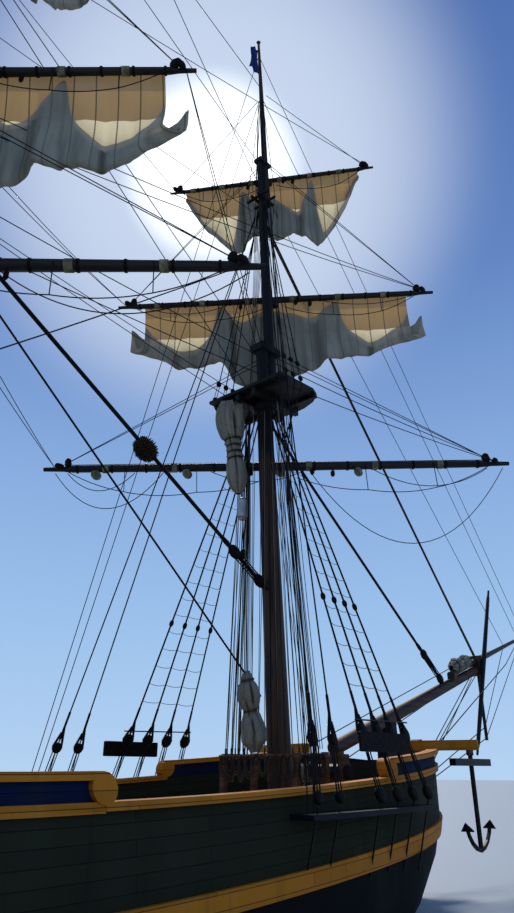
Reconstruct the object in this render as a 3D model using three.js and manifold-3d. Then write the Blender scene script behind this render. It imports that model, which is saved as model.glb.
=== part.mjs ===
// Two-masted square-rigged sailing ship, a brig, afloat at a quay with her upper sails clewed up.
// Millimetres. +X points to the bow, +Y to port and +Z up.
// The origin lies on the waterline, on the centreline, midway between stem and stern.

import * as THREE from 'three';
import { mergeVertices } from 'three/addons/utils/BufferGeometryUtils.js';
import Module from 'manifold-3d';

// Clearance left between two pieces that touch on the real ship
const GAP = 0.3;

// Bounds well outside the ship, for pieces that are drawn oversize and then cut
const BEYOND_SIDE = 4600;
const BEYOND_STERN_X = -11500;
const BEYOND_BOW_X = 11500;
const BEYOND_KEEL_Z = -4200;
const BEYOND_RAIL_Z = 5200;

// Hull form. Columns: station x, rabbet height, height of the widest line, half beam there,
// half beam at the rail, fullness of the turn of the bilge, hollow of the run or entry.
const HULL_STATIONS = [
  [-10900, -2950, 1500, 2050, 1900, 1.5, 7.0],
  [-8950, -2950, 1400, 2450, 2300, 1.5, 7.0],
  [-7600, -2920, 1250, 2800, 2650, 1.6, 4.2],
  [-6000, -2880, 1100, 3080, 2930, 1.8, 2.6],
  [-4000, -2820, 950, 3270, 3120, 2.0, 1.7],
  [-1500, -2750, 850, 3350, 3200, 2.3, 1.2],
  [1500, -2680, 850, 3350, 3220, 2.4, 1.05],
  [4000, -2620, 1000, 3300, 3200, 2.2, 1.1],
  [6000, -2580, 1300, 3130, 3080, 2.0, 1.35],
  [7500, -2500, 1700, 2780, 2760, 1.8, 1.7],
  [8600, -2250, 2050, 2290, 2300, 1.7, 2.0],
  [9300, -1500, 2350, 1780, 1800, 1.6, 2.1],
  [9800, -300, 2600, 1210, 1230, 1.5, 2.0],
  [10150, 900, 2800, 700, 715, 1.4, 1.8],
  [10380, 2000, 3000, 200, 210, 1.3, 1.5],
];
const LOFT_X = [
  -10900, -9900, -8950, -8300, -7600, -6800, -6000, -5000, -4000, -2800, -1500, 0, 1500,
  2800, 4000, 5000, 6000, 6800, 7500, 8100, 8600, 9000, 9300, 9560, 9800, 9990, 10150, 10280, 10380,
];
const INNER_END_X = 10150;
const LOWER_STEPS = [0, 0.04, 0.12, 0.24, 0.4, 0.56, 0.72, 0.87, 1];
const UPPER_STEPS = [0.4, 0.75, 1, 1.6];
const KEEL_HALF = 120;
const SLOPE_LIMIT = 3;

// Sheer, decks and bulwarks
const SHEER_LOW_X = -3000;
const RAIL_LOW_Z = 2300;
const SHEER_CURVE = 3.6e-6;
const SHEER_STEP = 900;
const BULWARK_HEIGHT = 850;
const DECK_PLANK = 60;
const WALL = 100;
const QUARTERDECK_RISE = 450;
const FOREDECK_RISE = 350;
const AFT_RAIL_RISE = 330;
const FORE_RAIL_RISE = 320;
const BREAK_AFT_X = -1785;
const BREAK_FORE_X = 5100;
const CAP_THICK = 100;
const CAP_OUT = 80;
const CAP_IN = 180;
const MOULDING_OUT = 60;
const MOULDING_BELOW = 20;
const WALE_HALF_HEIGHT = 140;
const WALE_OUT = 70;
const WALE_MID_Z = 1150;
const WALE_X = [-8850, 9900];

// Stern: counter, transom and taffrail
const STERNPOST_X = -8950;
const TUCK_Z = 1000;
const COUNTER_END = [-10100, 1720];
const TRANSOM_FOOT = [-10180, 1790];
const TRANSOM_RAKE = 0.246;
const TRANSOM_THICK = 150;
const TAFFRAIL_Z = 3350;
const TAFFRAIL_DROP = 350;
const TAFFRAIL_HALF = 2020;

// Keel, stem and knee of the head
const KEEL_WIDTH = 300;
const KEEL_BOTTOM_AFT = -3350;
const KEEL_BOTTOM_FORE = -2900;

// Bowsprit and jibboom: the steeve is the rise for each millimetre forward
const STEEVE = 0.3;
const BOWSPRIT_HEEL_X = 7800;
const BOWSPRIT_END_X = 17200;
const BOWSPRIT_Z_AT_STEM = 3985;
const STEM_X = 10350;
const BOWSPRIT_R = 190;
const BOWSPRIT_END_R = 145;
const JIBBOOM_HEEL_X = 14900;
const JIBBOOM_END_X = 22600;
const JIBBOOM_R = 100;

const wasm = await Module();
wasm.setup();

const vec = (x, y, z) => new THREE.Vector3(x, y, z);
const Y_AXIS = vec(0, 1, 0);

// Turns a closed geometry into a solid that can be joined and cut
function solidOf(geometry) {
  const plain = geometry.clone();
  plain.deleteAttribute('normal');
  plain.deleteAttribute('uv');
  const merged = mergeVertices(plain, 1e-3);
  const index = merged.index.array;
  const kept = [];
  for (let i = 0; i < index.length; i += 3) {
    const [a, b, c] = [index[i], index[i + 1], index[i + 2]];
    if (a !== b && b !== c && a !== c) kept.push(a, b, c);
  }
  return new wasm.Manifold(new wasm.Mesh({
    numProp: 3,
    vertProperties: Float32Array.from(merged.attributes.position.array),
    triVerts: Uint32Array.from(kept),
  }));
}

function geometryOf(solid) {
  const mesh = solid.getMesh();
  const geometry = new THREE.BufferGeometry();
  geometry.setAttribute('position', new THREE.BufferAttribute(Float32Array.from(mesh.vertProperties), 3));
  geometry.setIndex(new THREE.BufferAttribute(Uint32Array.from(mesh.triVerts), 1));
  geometry.computeVertexNormals();
  return geometry;
}

const join = (...solids) => solids.reduce((all, next) => all.add(next));

// The solid with its clearance all round
function grown(solid, by = GAP * 1.3) {
  const moves = [[by, 0, 0], [-by, 0, 0], [0, by, 0], [0, -by, 0], [0, 0, by], [0, 0, -by]];
  return moves.reduce((all, move) => all.add(solid.translate(move)), solid);
}

const cut = (solid, ...neighbours) => neighbours.reduce((left, one) => left.subtract(grown(one)), solid);

function box(x0, x1, y0, y1, z0, z1) {
  const geometry = new THREE.BoxGeometry(x1 - x0, y1 - y0, z1 - z0);
  geometry.translate((x0 + x1) / 2, (y0 + y1) / 2, (z0 + z1) / 2);
  return solidOf(geometry);
}

// A round spar from a to b: each stop is a share of the length and a radius
function spar(a, b, stops, sides = 12) {
  const way = vec().subVectors(b, a);
  const length = way.length();
  const profile = [new THREE.Vector2(0, stops[0][0] * length)];
  for (const [share, radius] of stops) profile.push(new THREE.Vector2(radius, share * length));
  profile.push(new THREE.Vector2(0, stops[stops.length - 1][0] * length));
  const geometry = new THREE.LatheGeometry(profile, sides);
  geometry.applyQuaternion(new THREE.Quaternion().setFromUnitVectors(Y_AXIS, way.normalize()));
  geometry.translate(a.x, a.y, a.z);
  return solidOf(geometry);
}

const rod = (a, b, radius, sides = 12) => spar(a, b, [[0, radius], [1, radius]], sides);

// A rope or bar that follows a curve
function rope(curve, radius, steps, sides = 6) {
  const outline = new THREE.Shape();
  for (let i = 0; i < sides; i++) {
    const angle = (i / sides) * 2 * Math.PI;
    const point = [radius * Math.cos(angle), radius * Math.sin(angle)];
    if (i === 0) outline.moveTo(...point);
    else outline.lineTo(...point);
  }
  outline.closePath();
  return solidOf(new THREE.ExtrudeGeometry(outline, { steps, extrudePath: curve, bevelEnabled: false }));
}

const shapeOf = (points) => new THREE.Shape(points.map(([a, b]) => new THREE.Vector2(a, b)));

// A side view, drawn in x and z, carried across the ship from y0 to y1
function sidePlate(outline, y0, y1, curveSegments = 6) {
  const shape = outline instanceof THREE.Shape ? outline : shapeOf(outline);
  const geometry = new THREE.ExtrudeGeometry(shape, { depth: y1 - y0, bevelEnabled: false, curveSegments });
  geometry.rotateX(Math.PI / 2);
  geometry.translate(0, y1, 0);
  return solidOf(geometry);
}

// An end view, drawn in y and z, carried along the ship from x0 to x1
function endPlate(points, x0, x1) {
  const geometry = new THREE.ExtrudeGeometry(shapeOf(points), { depth: x1 - x0, bevelEnabled: false });
  geometry.applyMatrix4(new THREE.Matrix4().makeBasis(vec(0, 1, 0), vec(0, 0, 1), vec(1, 0, 0)));
  geometry.translate(x0, 0, 0);
  return solidOf(geometry);
}

// A plan, drawn in x and y, carried up from z0 to z1
function plan(points, z0, z1) {
  const geometry = new THREE.ExtrudeGeometry(shapeOf(points), { depth: z1 - z0, bevelEnabled: false });
  geometry.translate(0, 0, z0);
  return solidOf(geometry);
}

// Triangles that close a flat ring whose first half runs one way and its second half back beside it
function capOf(around) {
  const faces = [];
  for (let k = 0; k < around / 2 - 1; k++) {
    const [a, b, c, d] = [k, k + 1, around - 2 - k, around - 1 - k];
    faces.push([a, b, c], [a, c, d]);
  }
  return faces;
}

// A closed skin over rings of points
function loft(rings) {
  const around = rings[0].length;
  const index = [];
  for (let r = 0; r + 1 < rings.length; r++) {
    for (let i = 0; i < around; i++) {
      const j = (i + 1) % around;
      const [a, b, c, d] = [r * around + i, r * around + j, (r + 1) * around + j, (r + 1) * around + i];
      index.push(a, b, c, a, c, d);
    }
  }
  const last = (rings.length - 1) * around;
  for (const [i, j, k] of capOf(around)) index.push(i, k, j, last + i, last + j, last + k);
  const geometry = new THREE.BufferGeometry();
  geometry.setAttribute('position', new THREE.Float32BufferAttribute(rings.flat(2), 3));
  geometry.setIndex(index);
  const solid = solidOf(geometry);
  if (solid.volume() > 0) return solid;
  geometry.setIndex(index.reverse());
  return solidOf(geometry);
}

// Hull surface

// One column of the station table, faired along the ship
function faired(x, column) {
  const rows = HULL_STATIONS;
  const at = Math.min(Math.max(x, rows[0][0]), rows[rows.length - 1][0]);
  let i = 0;
  while (i + 2 < rows.length && at > rows[i + 1][0]) i++;
  const slope = (k) => {
    const [low, high] = [rows[Math.max(k - 1, 0)], rows[Math.min(k + 1, rows.length - 1)]];
    return (high[column] - low[column]) / (high[0] - low[0]);
  };
  const span = rows[i + 1][0] - rows[i][0];
  const t = (at - rows[i][0]) / span;
  const [t2, t3] = [t * t, t * t * t];
  return (2 * t3 - 3 * t2 + 1) * rows[i][column] + (t3 - 2 * t2 + t) * span * slope(i)
    + (3 * t2 - 2 * t3) * rows[i + 1][column] + (t3 - t2) * span * slope(i + 1);
}

const railZ = (x) => RAIL_LOW_Z + SHEER_CURVE * (x - SHEER_LOW_X) ** 2;
const mainDeckZ = (x) => railZ(x) - BULWARK_HEIGHT;
const hullTopZ = (x) => mainDeckZ(x) - DECK_PLANK;
const quarterdeckZ = (x) => mainDeckZ(x) + QUARTERDECK_RISE;
const foredeckZ = (x) => mainDeckZ(x) + FOREDECK_RISE;
const waleZ = (x) => WALE_MID_Z + SHEER_CURVE * 1.2 * (x - SHEER_LOW_X) ** 2;

// Half the ship's breadth at a height
function halfBreadth(x, z) {
  const [rabbet, wide, beam, railBeam, full, hollow] = [1, 2, 3, 4, 5, 6].map((k) => faired(x, k));
  if (z > wide) {
    const t = (z - wide) / (railZ(x) - wide);
    return beam - (beam - railBeam) * t * t;
  }
  const s = Math.max(0, (z - rabbet) / (wide - rabbet));
  return KEEL_HALF + (beam - KEEL_HALF) * (1 - (1 - s) ** full) ** hollow;
}

// The hull's outer shape from keel to above the rail, drawn in by inset along its own normal
function envelope(inset) {
  const stations = inset > GAP ? LOFT_X.filter((x) => x <= INNER_END_X) : LOFT_X;
  return loft(stations.map((x) => {
    const [rabbet, wide, rail] = [faired(x, 1), faired(x, 2), railZ(x)];
    const heights = [
      ...LOWER_STEPS.map((s) => rabbet + s * (wide - rabbet)),
      ...UPPER_STEPS.map((t) => wide + t * (rail - wide)),
    ];
    const half = heights.map((z) => {
      const slope = (halfBreadth(x + 50, z) - halfBreadth(x - 50, z)) / 100;
      const stretch = Math.min(Math.hypot(1, slope), SLOPE_LIMIT);
      return Math.max(halfBreadth(x, z) - inset * stretch, 15);
    });
    const starboard = heights.map((z, i) => [x, -half[i], z]);
    const port = heights.map((z, i) => [x, half[i], z]).reverse();
    return [...starboard, ...port];
  }));
}

// The space between two heights that change along the ship, in straight stretches that all decks share
function slab(x0, x1, low, high) {
  const knots = [];
  for (let x = Math.ceil(x0 / SHEER_STEP) * SHEER_STEP; x < x1 - 1; x += SHEER_STEP) {
    if (x > x0 + 1) knots.push(x);
  }
  const along = [x0, ...knots, x1];
  const height = (bound, x) => {
    if (typeof bound !== 'function') return bound;
    const knot = Math.floor(x / SHEER_STEP) * SHEER_STEP;
    const t = (x - knot) / SHEER_STEP;
    return bound(knot) * (1 - t) + bound(knot + SHEER_STEP) * t;
  };
  const top = along.map((x) => [x, height(high, x)]);
  const bottom = along.map((x) => [x, height(low, x)]).reverse();
  return sidePlate([...top, ...bottom], -BEYOND_SIDE, BEYOND_SIDE);
}

// Side view of all that lies forward of the sternpost, the counter and the transom
const transomX = (z) => TRANSOM_FOOT[0] - (z - TRANSOM_FOOT[1]) * TRANSOM_RAKE;
const counter = [0, 0.25, 0.5, 0.75, 1].map((t) => [
  STERNPOST_X + (COUNTER_END[0] - STERNPOST_X) * t,
  TUCK_Z + (COUNTER_END[1] - TUCK_Z) * t ** 1.4,
]);
const insideStern = sidePlate([
  [BEYOND_BOW_X, BEYOND_KEEL_Z], [STERNPOST_X, BEYOND_KEEL_Z], ...counter, TRANSOM_FOOT,
  [transomX(BEYOND_RAIL_Z), BEYOND_RAIL_Z], [BEYOND_BOW_X, BEYOND_RAIL_Z],
], -BEYOND_SIDE, BEYOND_SIDE);
const transomFace = (forward) => sidePlate([
  [BEYOND_BOW_X, 0], [transomX(0) + forward, 0],
  [transomX(BEYOND_RAIL_Z) + forward, BEYOND_RAIL_Z], [BEYOND_BOW_X, BEYOND_RAIL_Z],
], -BEYOND_SIDE, BEYOND_SIDE);
const forwardOfTransom = transomFace(TRANSOM_THICK + GAP);
const transomBody = transomFace(TRANSOM_THICK);

const skin = envelope(0);
const skinClear = envelope(-GAP);
const inner = envelope(WALL);
const innerClear = envelope(WALL + GAP);
const halfSpace = { starboard: [-BEYOND_SIDE, -GAP / 2], port: [GAP / 2, BEYOND_SIDE] };
const sideBox = (side) => box(
  BEYOND_STERN_X, BEYOND_BOW_X, ...halfSpace[side], BEYOND_KEEL_Z, BEYOND_RAIL_Z);

// Keel, sternpost, stem and knee of the head, cut from one side view, with the screw's aperture
const SHAFT_Z = -2050;
const SHAFT_R = 50;
const PROPELLER_X = -8290;
const PROPELLER_HUB = { aft: -150, fore: 140, radius: 110 };
const APERTURE_X = [-8620, -7960];
const APERTURE_HALF = 660;
const GUDGEON_Z = [-2750, -950, 620];
const RUDDER_AXIS_X = -9060;
const GUDGEON_R = 75;
const GUDGEON_THICK = 120;

function keelSolid() {
  const outline = new THREE.Shape();
  outline.moveTo(STERNPOST_X, KEEL_BOTTOM_AFT);
  outline.lineTo(7400, KEEL_BOTTOM_FORE);
  outline.bezierCurveTo(9300, -2850, 9750, -900, 10250, 700);
  outline.bezierCurveTo(10550, 1700, 11300, 2650, 12150, 3250);
  outline.lineTo(12200, 3560);
  outline.bezierCurveTo(11600, 3500, 11000, 3250, 10820, 3300);
  outline.lineTo(10760, BOWSPRIT_Z_AT_STEM - 20);
  outline.lineTo(10180, BOWSPRIT_Z_AT_STEM - 60);
  outline.lineTo(10120, 2400);
  outline.bezierCurveTo(9700, 400, 9300, -1900, 7300, -2350);
  outline.lineTo(-7700, -2700);
  outline.lineTo(-7700, -1050);
  outline.lineTo(-8700, -850);
  outline.lineTo(-8700, TUCK_Z - 60);
  outline.lineTo(STERNPOST_X, TUCK_Z - 60);
  outline.closePath();
  const timber = sidePlate(outline, -KEEL_WIDTH / 2, KEEL_WIDTH / 2);
  const aperture = box(...APERTURE_X, -400, 400, SHAFT_Z - APERTURE_HALF, SHAFT_Z + APERTURE_HALF);
  const shaftEnd = vec(PROPELLER_X + PROPELLER_HUB.fore + GAP, 0, SHAFT_Z);
  const shaft = rod(vec(APERTURE_X[1] + 40, 0, SHAFT_Z), shaftEnd, SHAFT_R);
  const gudgeons = GUDGEON_Z.map((z) => {
    const [low, high] = [z - GUDGEON_THICK / 2, z + GUDGEON_THICK / 2];
    return join(
      rod(vec(RUDDER_AXIS_X, 0, low), vec(RUDDER_AXIS_X, 0, high), GUDGEON_R),
      box(RUDDER_AXIS_X, STERNPOST_X + 60, -60, 60, low, high),
    );
  });
  return { body: join(timber.subtract(aperture), shaft, ...gudgeons), aperture };
}

const bowspritZ = (x) => BOWSPRIT_Z_AT_STEM + STEEVE * (x - STEM_X);
const bowspritSpar = spar(
  vec(BOWSPRIT_HEEL_X, 0, bowspritZ(BOWSPRIT_HEEL_X)),
  vec(BOWSPRIT_END_X, 0, bowspritZ(BOWSPRIT_END_X)),
  [[0, BOWSPRIT_R * 0.92], [0.3, BOWSPRIT_R], [1, BOWSPRIT_END_R]],
);
const { body: keelBody, aperture } = keelSolid();
const keel = cut(keelBody, bowspritSpar);

const AFT_X = -11000;
const BOW_X = 10370;
const RAIL_BOW_X = 10280;
const RUDDER_TRUNK = { radius: 165, z: [-500, 3200] };
const trunk = rod(
  vec(RUDDER_AXIS_X, 0, RUDDER_TRUNK.z[0]), vec(RUDDER_AXIS_X, 0, RUDDER_TRUNK.z[1]), RUDDER_TRUNK.radius);

const underDecks = slab(AFT_X, BEYOND_BOW_X, BEYOND_KEEL_Z, hullTopZ);
const hull = cut(skin.intersect(insideStern).intersect(underDecks), keelBody)
  .subtract(aperture).subtract(trunk);

// Scroll ends where the raised rails stop at the two breaks. Columns: x, rise of the raised rail, radius.
const SCROLLS = [
  { x: BREAK_AFT_X + 40, rise: AFT_RAIL_RISE, radius: 185 },
  { x: BREAK_FORE_X - 40, rise: FORE_RAIL_RISE, radius: 180 },
];
const scrollDisc = ({ x, rise, radius }, y0, y1, more = 0) => {
  const z = railZ(x) + rise + CAP_THICK - radius;
  return rod(vec(x, y0, z), vec(x, y1, z), radius + more, 16);
};

const capOuter = envelope(-CAP_OUT);
const capInner = envelope(CAP_IN);
const mouldingOuter = envelope(-MOULDING_OUT);
const waleOuter = envelope(-WALE_OUT);

function bulwark(side) {
  const wall = join(
    slab(AFT_X, BOW_X, (x) => hullTopZ(x) + GAP, (x) => railZ(x)),
    slab(AFT_X, SCROLLS[0].x, (x) => railZ(x) - 50, (x) => railZ(x) + AFT_RAIL_RISE),
    slab(SCROLLS[1].x, BOW_X, (x) => railZ(x) - 50, (x) => railZ(x) + FORE_RAIL_RISE),
  );
  let solid = skin.subtract(inner).intersect(insideStern).intersect(forwardOfTransom).intersect(wall);
  for (const scroll of SCROLLS) solid = solid.subtract(scrollDisc(scroll, -BEYOND_SIDE, BEYOND_SIDE, GAP));
  return cut(solid.intersect(sideBox(side)), keelBody);
}

function rail(side) {
  const capBand = capOuter.subtract(capInner).intersect(forwardOfTransom);
  const moulding = mouldingOuter.subtract(skinClear).intersect(forwardOfTransom);
  const capOn = (x0, x1, rise) => capBand.intersect(
    slab(x0, x1, (x) => railZ(x) + rise + GAP, (x) => railZ(x) + rise + CAP_THICK));
  const strip = (x0, x1) => moulding.intersect(
    slab(x0, x1, (x) => railZ(x) - MOULDING_BELOW, (x) => railZ(x) + CAP_THICK));
  const ends = SCROLLS.map((scroll) => capBand.intersect(scrollDisc(scroll, -BEYOND_SIDE, BEYOND_SIDE)));
  const solid = join(
    capOn(SCROLLS[0].x, SCROLLS[1].x, 0),
    capOn(AFT_X, SCROLLS[0].x, AFT_RAIL_RISE),
    capOn(SCROLLS[1].x, RAIL_BOW_X, FORE_RAIL_RISE),
    strip(AFT_X, SCROLLS[0].x),
    strip(SCROLLS[1].x, RAIL_BOW_X),
    ...ends,
  );
  return cut(solid.intersect(sideBox(side)), keelBody);
}

function wale(side) {
  const band = slab(...WALE_X, (x) => waleZ(x) - WALE_HALF_HEIGHT, (x) => waleZ(x) + WALE_HALF_HEIGHT);
  return cut(waleOuter.subtract(skinClear).intersect(band).intersect(sideBox(side)), keelBody);
}

function transom() {
  const arch = Array.from({ length: 13 }, (_, i) => {
    const y = TAFFRAIL_HALF * (1 - i / 6);
    return [y, TAFFRAIL_Z - TAFFRAIL_DROP * (y / TAFFRAIL_HALF) ** 2];
  });
  const sternSpace = [BEYOND_STERN_X, STERNPOST_X];
  const below = endPlate([
    ...arch, [-BEYOND_SIDE, 2500], [-BEYOND_SIDE, 0], [BEYOND_SIDE, 0], [BEYOND_SIDE, 2500],
  ], ...sternSpace);
  const board = skin.intersect(insideStern).subtract(transomBody).intersect(below)
    .intersect(slab(...sternSpace, hullTopZ, BEYOND_RAIL_Z));
  const capLine = arch.map(([y, z]) => [y, z + CAP_THICK]).reverse();
  const capX = transomX(TAFFRAIL_Z);
  const cap = endPlate([...arch, ...capLine], capX - 70, capX + TRANSOM_THICK + 60);
  return join(board, cap);
}

// Masts. Both rake aft. Heights are measured along the mast from a level MAST_DATUM above the water.
const RAKE = THREE.MathUtils.degToRad(3.1);
const MAST_DATUM = 3000;
const TOPMAST_AHEAD = 340;
const TOPGALLANT_AHEAD = 240;
const MASTS = {
  fore: {
    x: 5650, foot: foredeckZ(5650) - 300, hounds: 11650, head: 13550,
    crosstrees: 19100, topmastHead: 20750, truck: 26600,
  },
  main: {
    x: -4100, foot: quarterdeckZ(-4100) - 300, hounds: 12300, head: 14200,
    crosstrees: 19300, topmastHead: 20950, truck: 27400,
  },
};
const LOWER_STOPS = [[0, 290], [0.25, 265], [0.45, 240], [0.82, 205], [0.85, 180], [1, 165]];
const TOPMAST_STOPS = [[0, 150], [0.5, 145], [1, 105]];
const TOPGALLANT_STOPS = [[0, 110], [0.45, 90], [1, 40]];
const TOP_THICK = 80;
const TOP = { aft: -850, wide: 500, round: 750, half: 1300 };

// Fittings of the masts. Each x is measured ahead of the lower mast, or of the part that is named beside it.
const HOUNDS_RING = { deep: 200, stops: [[0, 235], [0.4, 310], [1, 310]] };
const MAST_CAP = { aft: -240, aheadOfTopmast: 220, half: 230, high: 200 };
const TOPMAST_HEEL = { half: 150, high: 450 };
const TOPMAST_CAP = { aftOfTopmast: 150, aheadOfTopgallant: 140, half: 140, high: 120 };
const TRUCK = { high: 60, stops: [[0, 60], [0.5, 80], [1, 60]] };
const TRESTLES = { x: [-800, 1100], y: [220, 340], deep: 200, housed: 10 };
const TOP_BEAMS = { x: [[-620, -500], [620, 740]], deep: 110, short: 60 };
const TOPMAST_BED = { reach: 140, half: 230 };
const TREES = { aftOfTopmast: 380, aheadOfTopgallant: 150, y: [95, 165], thick: 80, bed: 120 };
const CROSSTREES = { aheadOfTopmast: [[-260, -180], [110, 170]], half: 420, thick: 60 };

// Yards, square on their masts and braced round with the starboard arm forward.
// Columns: mast, part of it, length, radius, height, distance ahead of that part's axis, brace in degrees.
const YARD_TABLE = {
  fore_yard: ['fore', 'lower', 12600, 125, 10170, 620, 43],
  fore_topsail_yard: ['fore', 'top', 9470, 98, 15590, 400, 38],
  fore_topgallant_yard: ['fore', 'topgallant', 6700, 75, 20300, 240, 32],
  main_yard: ['main', 'lower', 11600, 125, 10700, 620, 43],
  main_topsail_yard: ['main', 'top', 9000, 98, 15500, 400, 41],
  main_topgallant_yard: ['main', 'topgallant', 6600, 75, 20100, 240, 34],
};
const YARDS = {};
for (const [name, [mast, part, length, radius, z, ahead, brace]] of Object.entries(YARD_TABLE)) {
  YARDS[name] = { mast, part, length, radius, z, ahead, brace };
}
const AXIS_AHEAD = { lower: 0, top: TOPMAST_AHEAD, topgallant: TOPMAST_AHEAD + TOPGALLANT_AHEAD };
const TRUSS = { drop: 60, thick: 80, half: 60, disc: 105 };
const SMALL_TRUSS = { drop: 50, thick: 60, half: 40, disc: 65 };
const trussOf = (yard) => (yard.part === 'topgallant' ? SMALL_TRUSS : TRUSS);

const mastFrame = (name) => new THREE.Matrix4().makeTranslation(MASTS[name].x, 0, MAST_DATUM)
  .multiply(new THREE.Matrix4().makeRotationY(-RAKE));
const yardFrame = (yard) => mastFrame(yard.mast)
  .multiply(new THREE.Matrix4().makeTranslation(AXIS_AHEAD[yard.part] + yard.ahead, 0, yard.z - MAST_DATUM))
  .multiply(new THREE.Matrix4().makeRotationZ(THREE.MathUtils.degToRad(yard.brace)));
const placed = (solid, frame) => solid.transform(frame.elements);
const onMast = (name, x, y, z) => vec(x, y, z - MAST_DATUM).applyMatrix4(mastFrame(name));
const up = (x, low, high, stops, sides) => spar(
  vec(x, 0, low - MAST_DATUM), vec(x, 0, high - MAST_DATUM), stops, sides);
const mastBox = (x0, x1, half, low, high) => box(x0, x1, -half, half, low - MAST_DATUM, high - MAST_DATUM);

// The arm that carries a yard: a bar from the mast to a round seat under the yard's middle
function trussArm(yard) {
  const truss = trussOf(yard);
  const seat = yard.z - yard.radius - truss.drop;
  const axis = AXIS_AHEAD[yard.part];
  return join(
    mastBox(axis, axis + yard.ahead, truss.half, seat - truss.thick, seat),
    up(axis + yard.ahead, seat - truss.thick, seat, [[0, truss.disc], [1, truss.disc]], 16),
  );
}
const trussOn = (name, part) => trussArm(
  Object.values(YARDS).find((yard) => yard.mast === name && yard.part === part));

// Spanker boom: pivot on the mast, then the outer end
const BOOM_PIVOT = { ahead: -400, z: 4000 };
const BOOM_R = 110;
const BOOM_TIP = [-12100, 4560];
const GOOSENECK = { drop: 50, thick: 90, half: 60, disc: 90 };

function gooseneckArm() {
  const seat = BOOM_PIVOT.z - BOOM_R - GOOSENECK.drop;
  return join(
    mastBox(BOOM_PIVOT.ahead, 0, GOOSENECK.half, seat - GOOSENECK.thick, seat),
    up(BOOM_PIVOT.ahead, seat - GOOSENECK.thick, seat, [[0, GOOSENECK.disc], [1, GOOSENECK.disc]], 16),
  );
}

function mastSet(name) {
  const { foot, hounds, head, crosstrees, topmastHead, truck } = MASTS[name];
  const topZ = hounds + HOUNDS_RING.deep / 2 + TRESTLES.deep;
  const [topmastX, topgallantX] = [TOPMAST_AHEAD, TOPMAST_AHEAD + TOPGALLANT_AHEAD];
  const topmastFoot = topZ + TOP_THICK + GAP;
  const pole = up(0, foot, head, LOWER_STOPS, 16);
  const ring = up(0, hounds - HOUNDS_RING.deep / 2, hounds + HOUNDS_RING.deep / 2, HOUNDS_RING.stops, 16);
  const topmastPole = join(
    up(topmastX, topmastFoot, topmastHead, TOPMAST_STOPS),
    mastBox(topmastX - TOPMAST_HEEL.half, topmastX + TOPMAST_HEEL.half, TOPMAST_HEEL.half, topmastFoot,
      topmastFoot - GAP + TOPMAST_HEEL.high),
  );
  const topgallantPole = join(
    up(topgallantX, crosstrees + TREES.thick + GAP, truck, TOPGALLANT_STOPS, 10),
    up(topgallantX, truck - TRUCK.high, truck, TRUCK.stops, 10),
  );
  const capBlock = mastBox(MAST_CAP.aft, topmastX + MAST_CAP.aheadOfTopmast, MAST_CAP.half,
    head - MAST_CAP.high / 2, head + MAST_CAP.high / 2);
  const lower = [pole, ring, cut(capBlock, topmastPole), trussOn(name, 'lower')];
  if (name === 'main') lower.push(gooseneckArm());
  const treesX = [topmastX - TREES.aftOfTopmast, topgallantX + TREES.aheadOfTopgallant];
  const treesZ = [crosstrees - MAST_DATUM, crosstrees + TREES.thick - MAST_DATUM];
  const trees = join(
    box(...treesX, ...TREES.y, ...treesZ),
    box(...treesX, -TREES.y[1], -TREES.y[0], ...treesZ),
    mastBox(topgallantX - TREES.bed, topgallantX + TREES.bed, TREES.y[1], crosstrees,
      crosstrees + TREES.thick),
    ...CROSSTREES.aheadOfTopmast.map(([x0, x1]) => mastBox(topmastX + x0, topmastX + x1, CROSSTREES.half,
      crosstrees + TREES.thick - CROSSTREES.thick, crosstrees + TREES.thick)),
  );
  const topmastCap = mastBox(topmastX - TOPMAST_CAP.aftOfTopmast, topgallantX + TOPMAST_CAP.aheadOfTopgallant,
    TOPMAST_CAP.half, topmastHead - TOPMAST_CAP.high / 2, topmastHead + TOPMAST_CAP.high / 2);
  const underTop = topZ - TRESTLES.deep + GAP;
  const intoTop = topZ + TRESTLES.housed;
  const trestlesZ = [underTop - MAST_DATUM, intoTop - MAST_DATUM];
  const top = join(
    platform(topZ),
    box(...TRESTLES.x, ...TRESTLES.y, ...trestlesZ),
    box(...TRESTLES.x, -TRESTLES.y[1], -TRESTLES.y[0], ...trestlesZ),
    ...TOP_BEAMS.x.map((x) => mastBox(...x, TOP.half - TOP_BEAMS.short, topZ - TOP_BEAMS.deep, intoTop)),
    mastBox(topmastX - TOPMAST_BED.reach, topmastX + TOPMAST_BED.reach, TOPMAST_BED.half, underTop, intoTop),
  );
  const frame = mastFrame(name);
  return {
    lower: placed(join(...lower), frame),
    top: placed(cut(top, pole), frame),
    topmast: placed(join(topmastPole, cut(topmastCap, topgallantPole), trees, trussOn(name, 'top')), frame),
    topgallant: placed(join(topgallantPole, trussOn(name, 'topgallant')), frame),
  };
}

// The top's platform: square abaft, rounded ahead
function platform(z) {
  const rim = Array.from({ length: 9 }, (_, i) => {
    const angle = (Math.PI * (i - 4)) / 8;
    return [TOP.wide + TOP.round * Math.cos(angle), TOP.half * Math.sin(angle)];
  });
  const corner = TOP.half - 50;
  return plan([[TOP.aft, -corner], ...rim, [TOP.aft, corner]], z - MAST_DATUM, z + TOP_THICK - MAST_DATUM);
}

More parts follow.
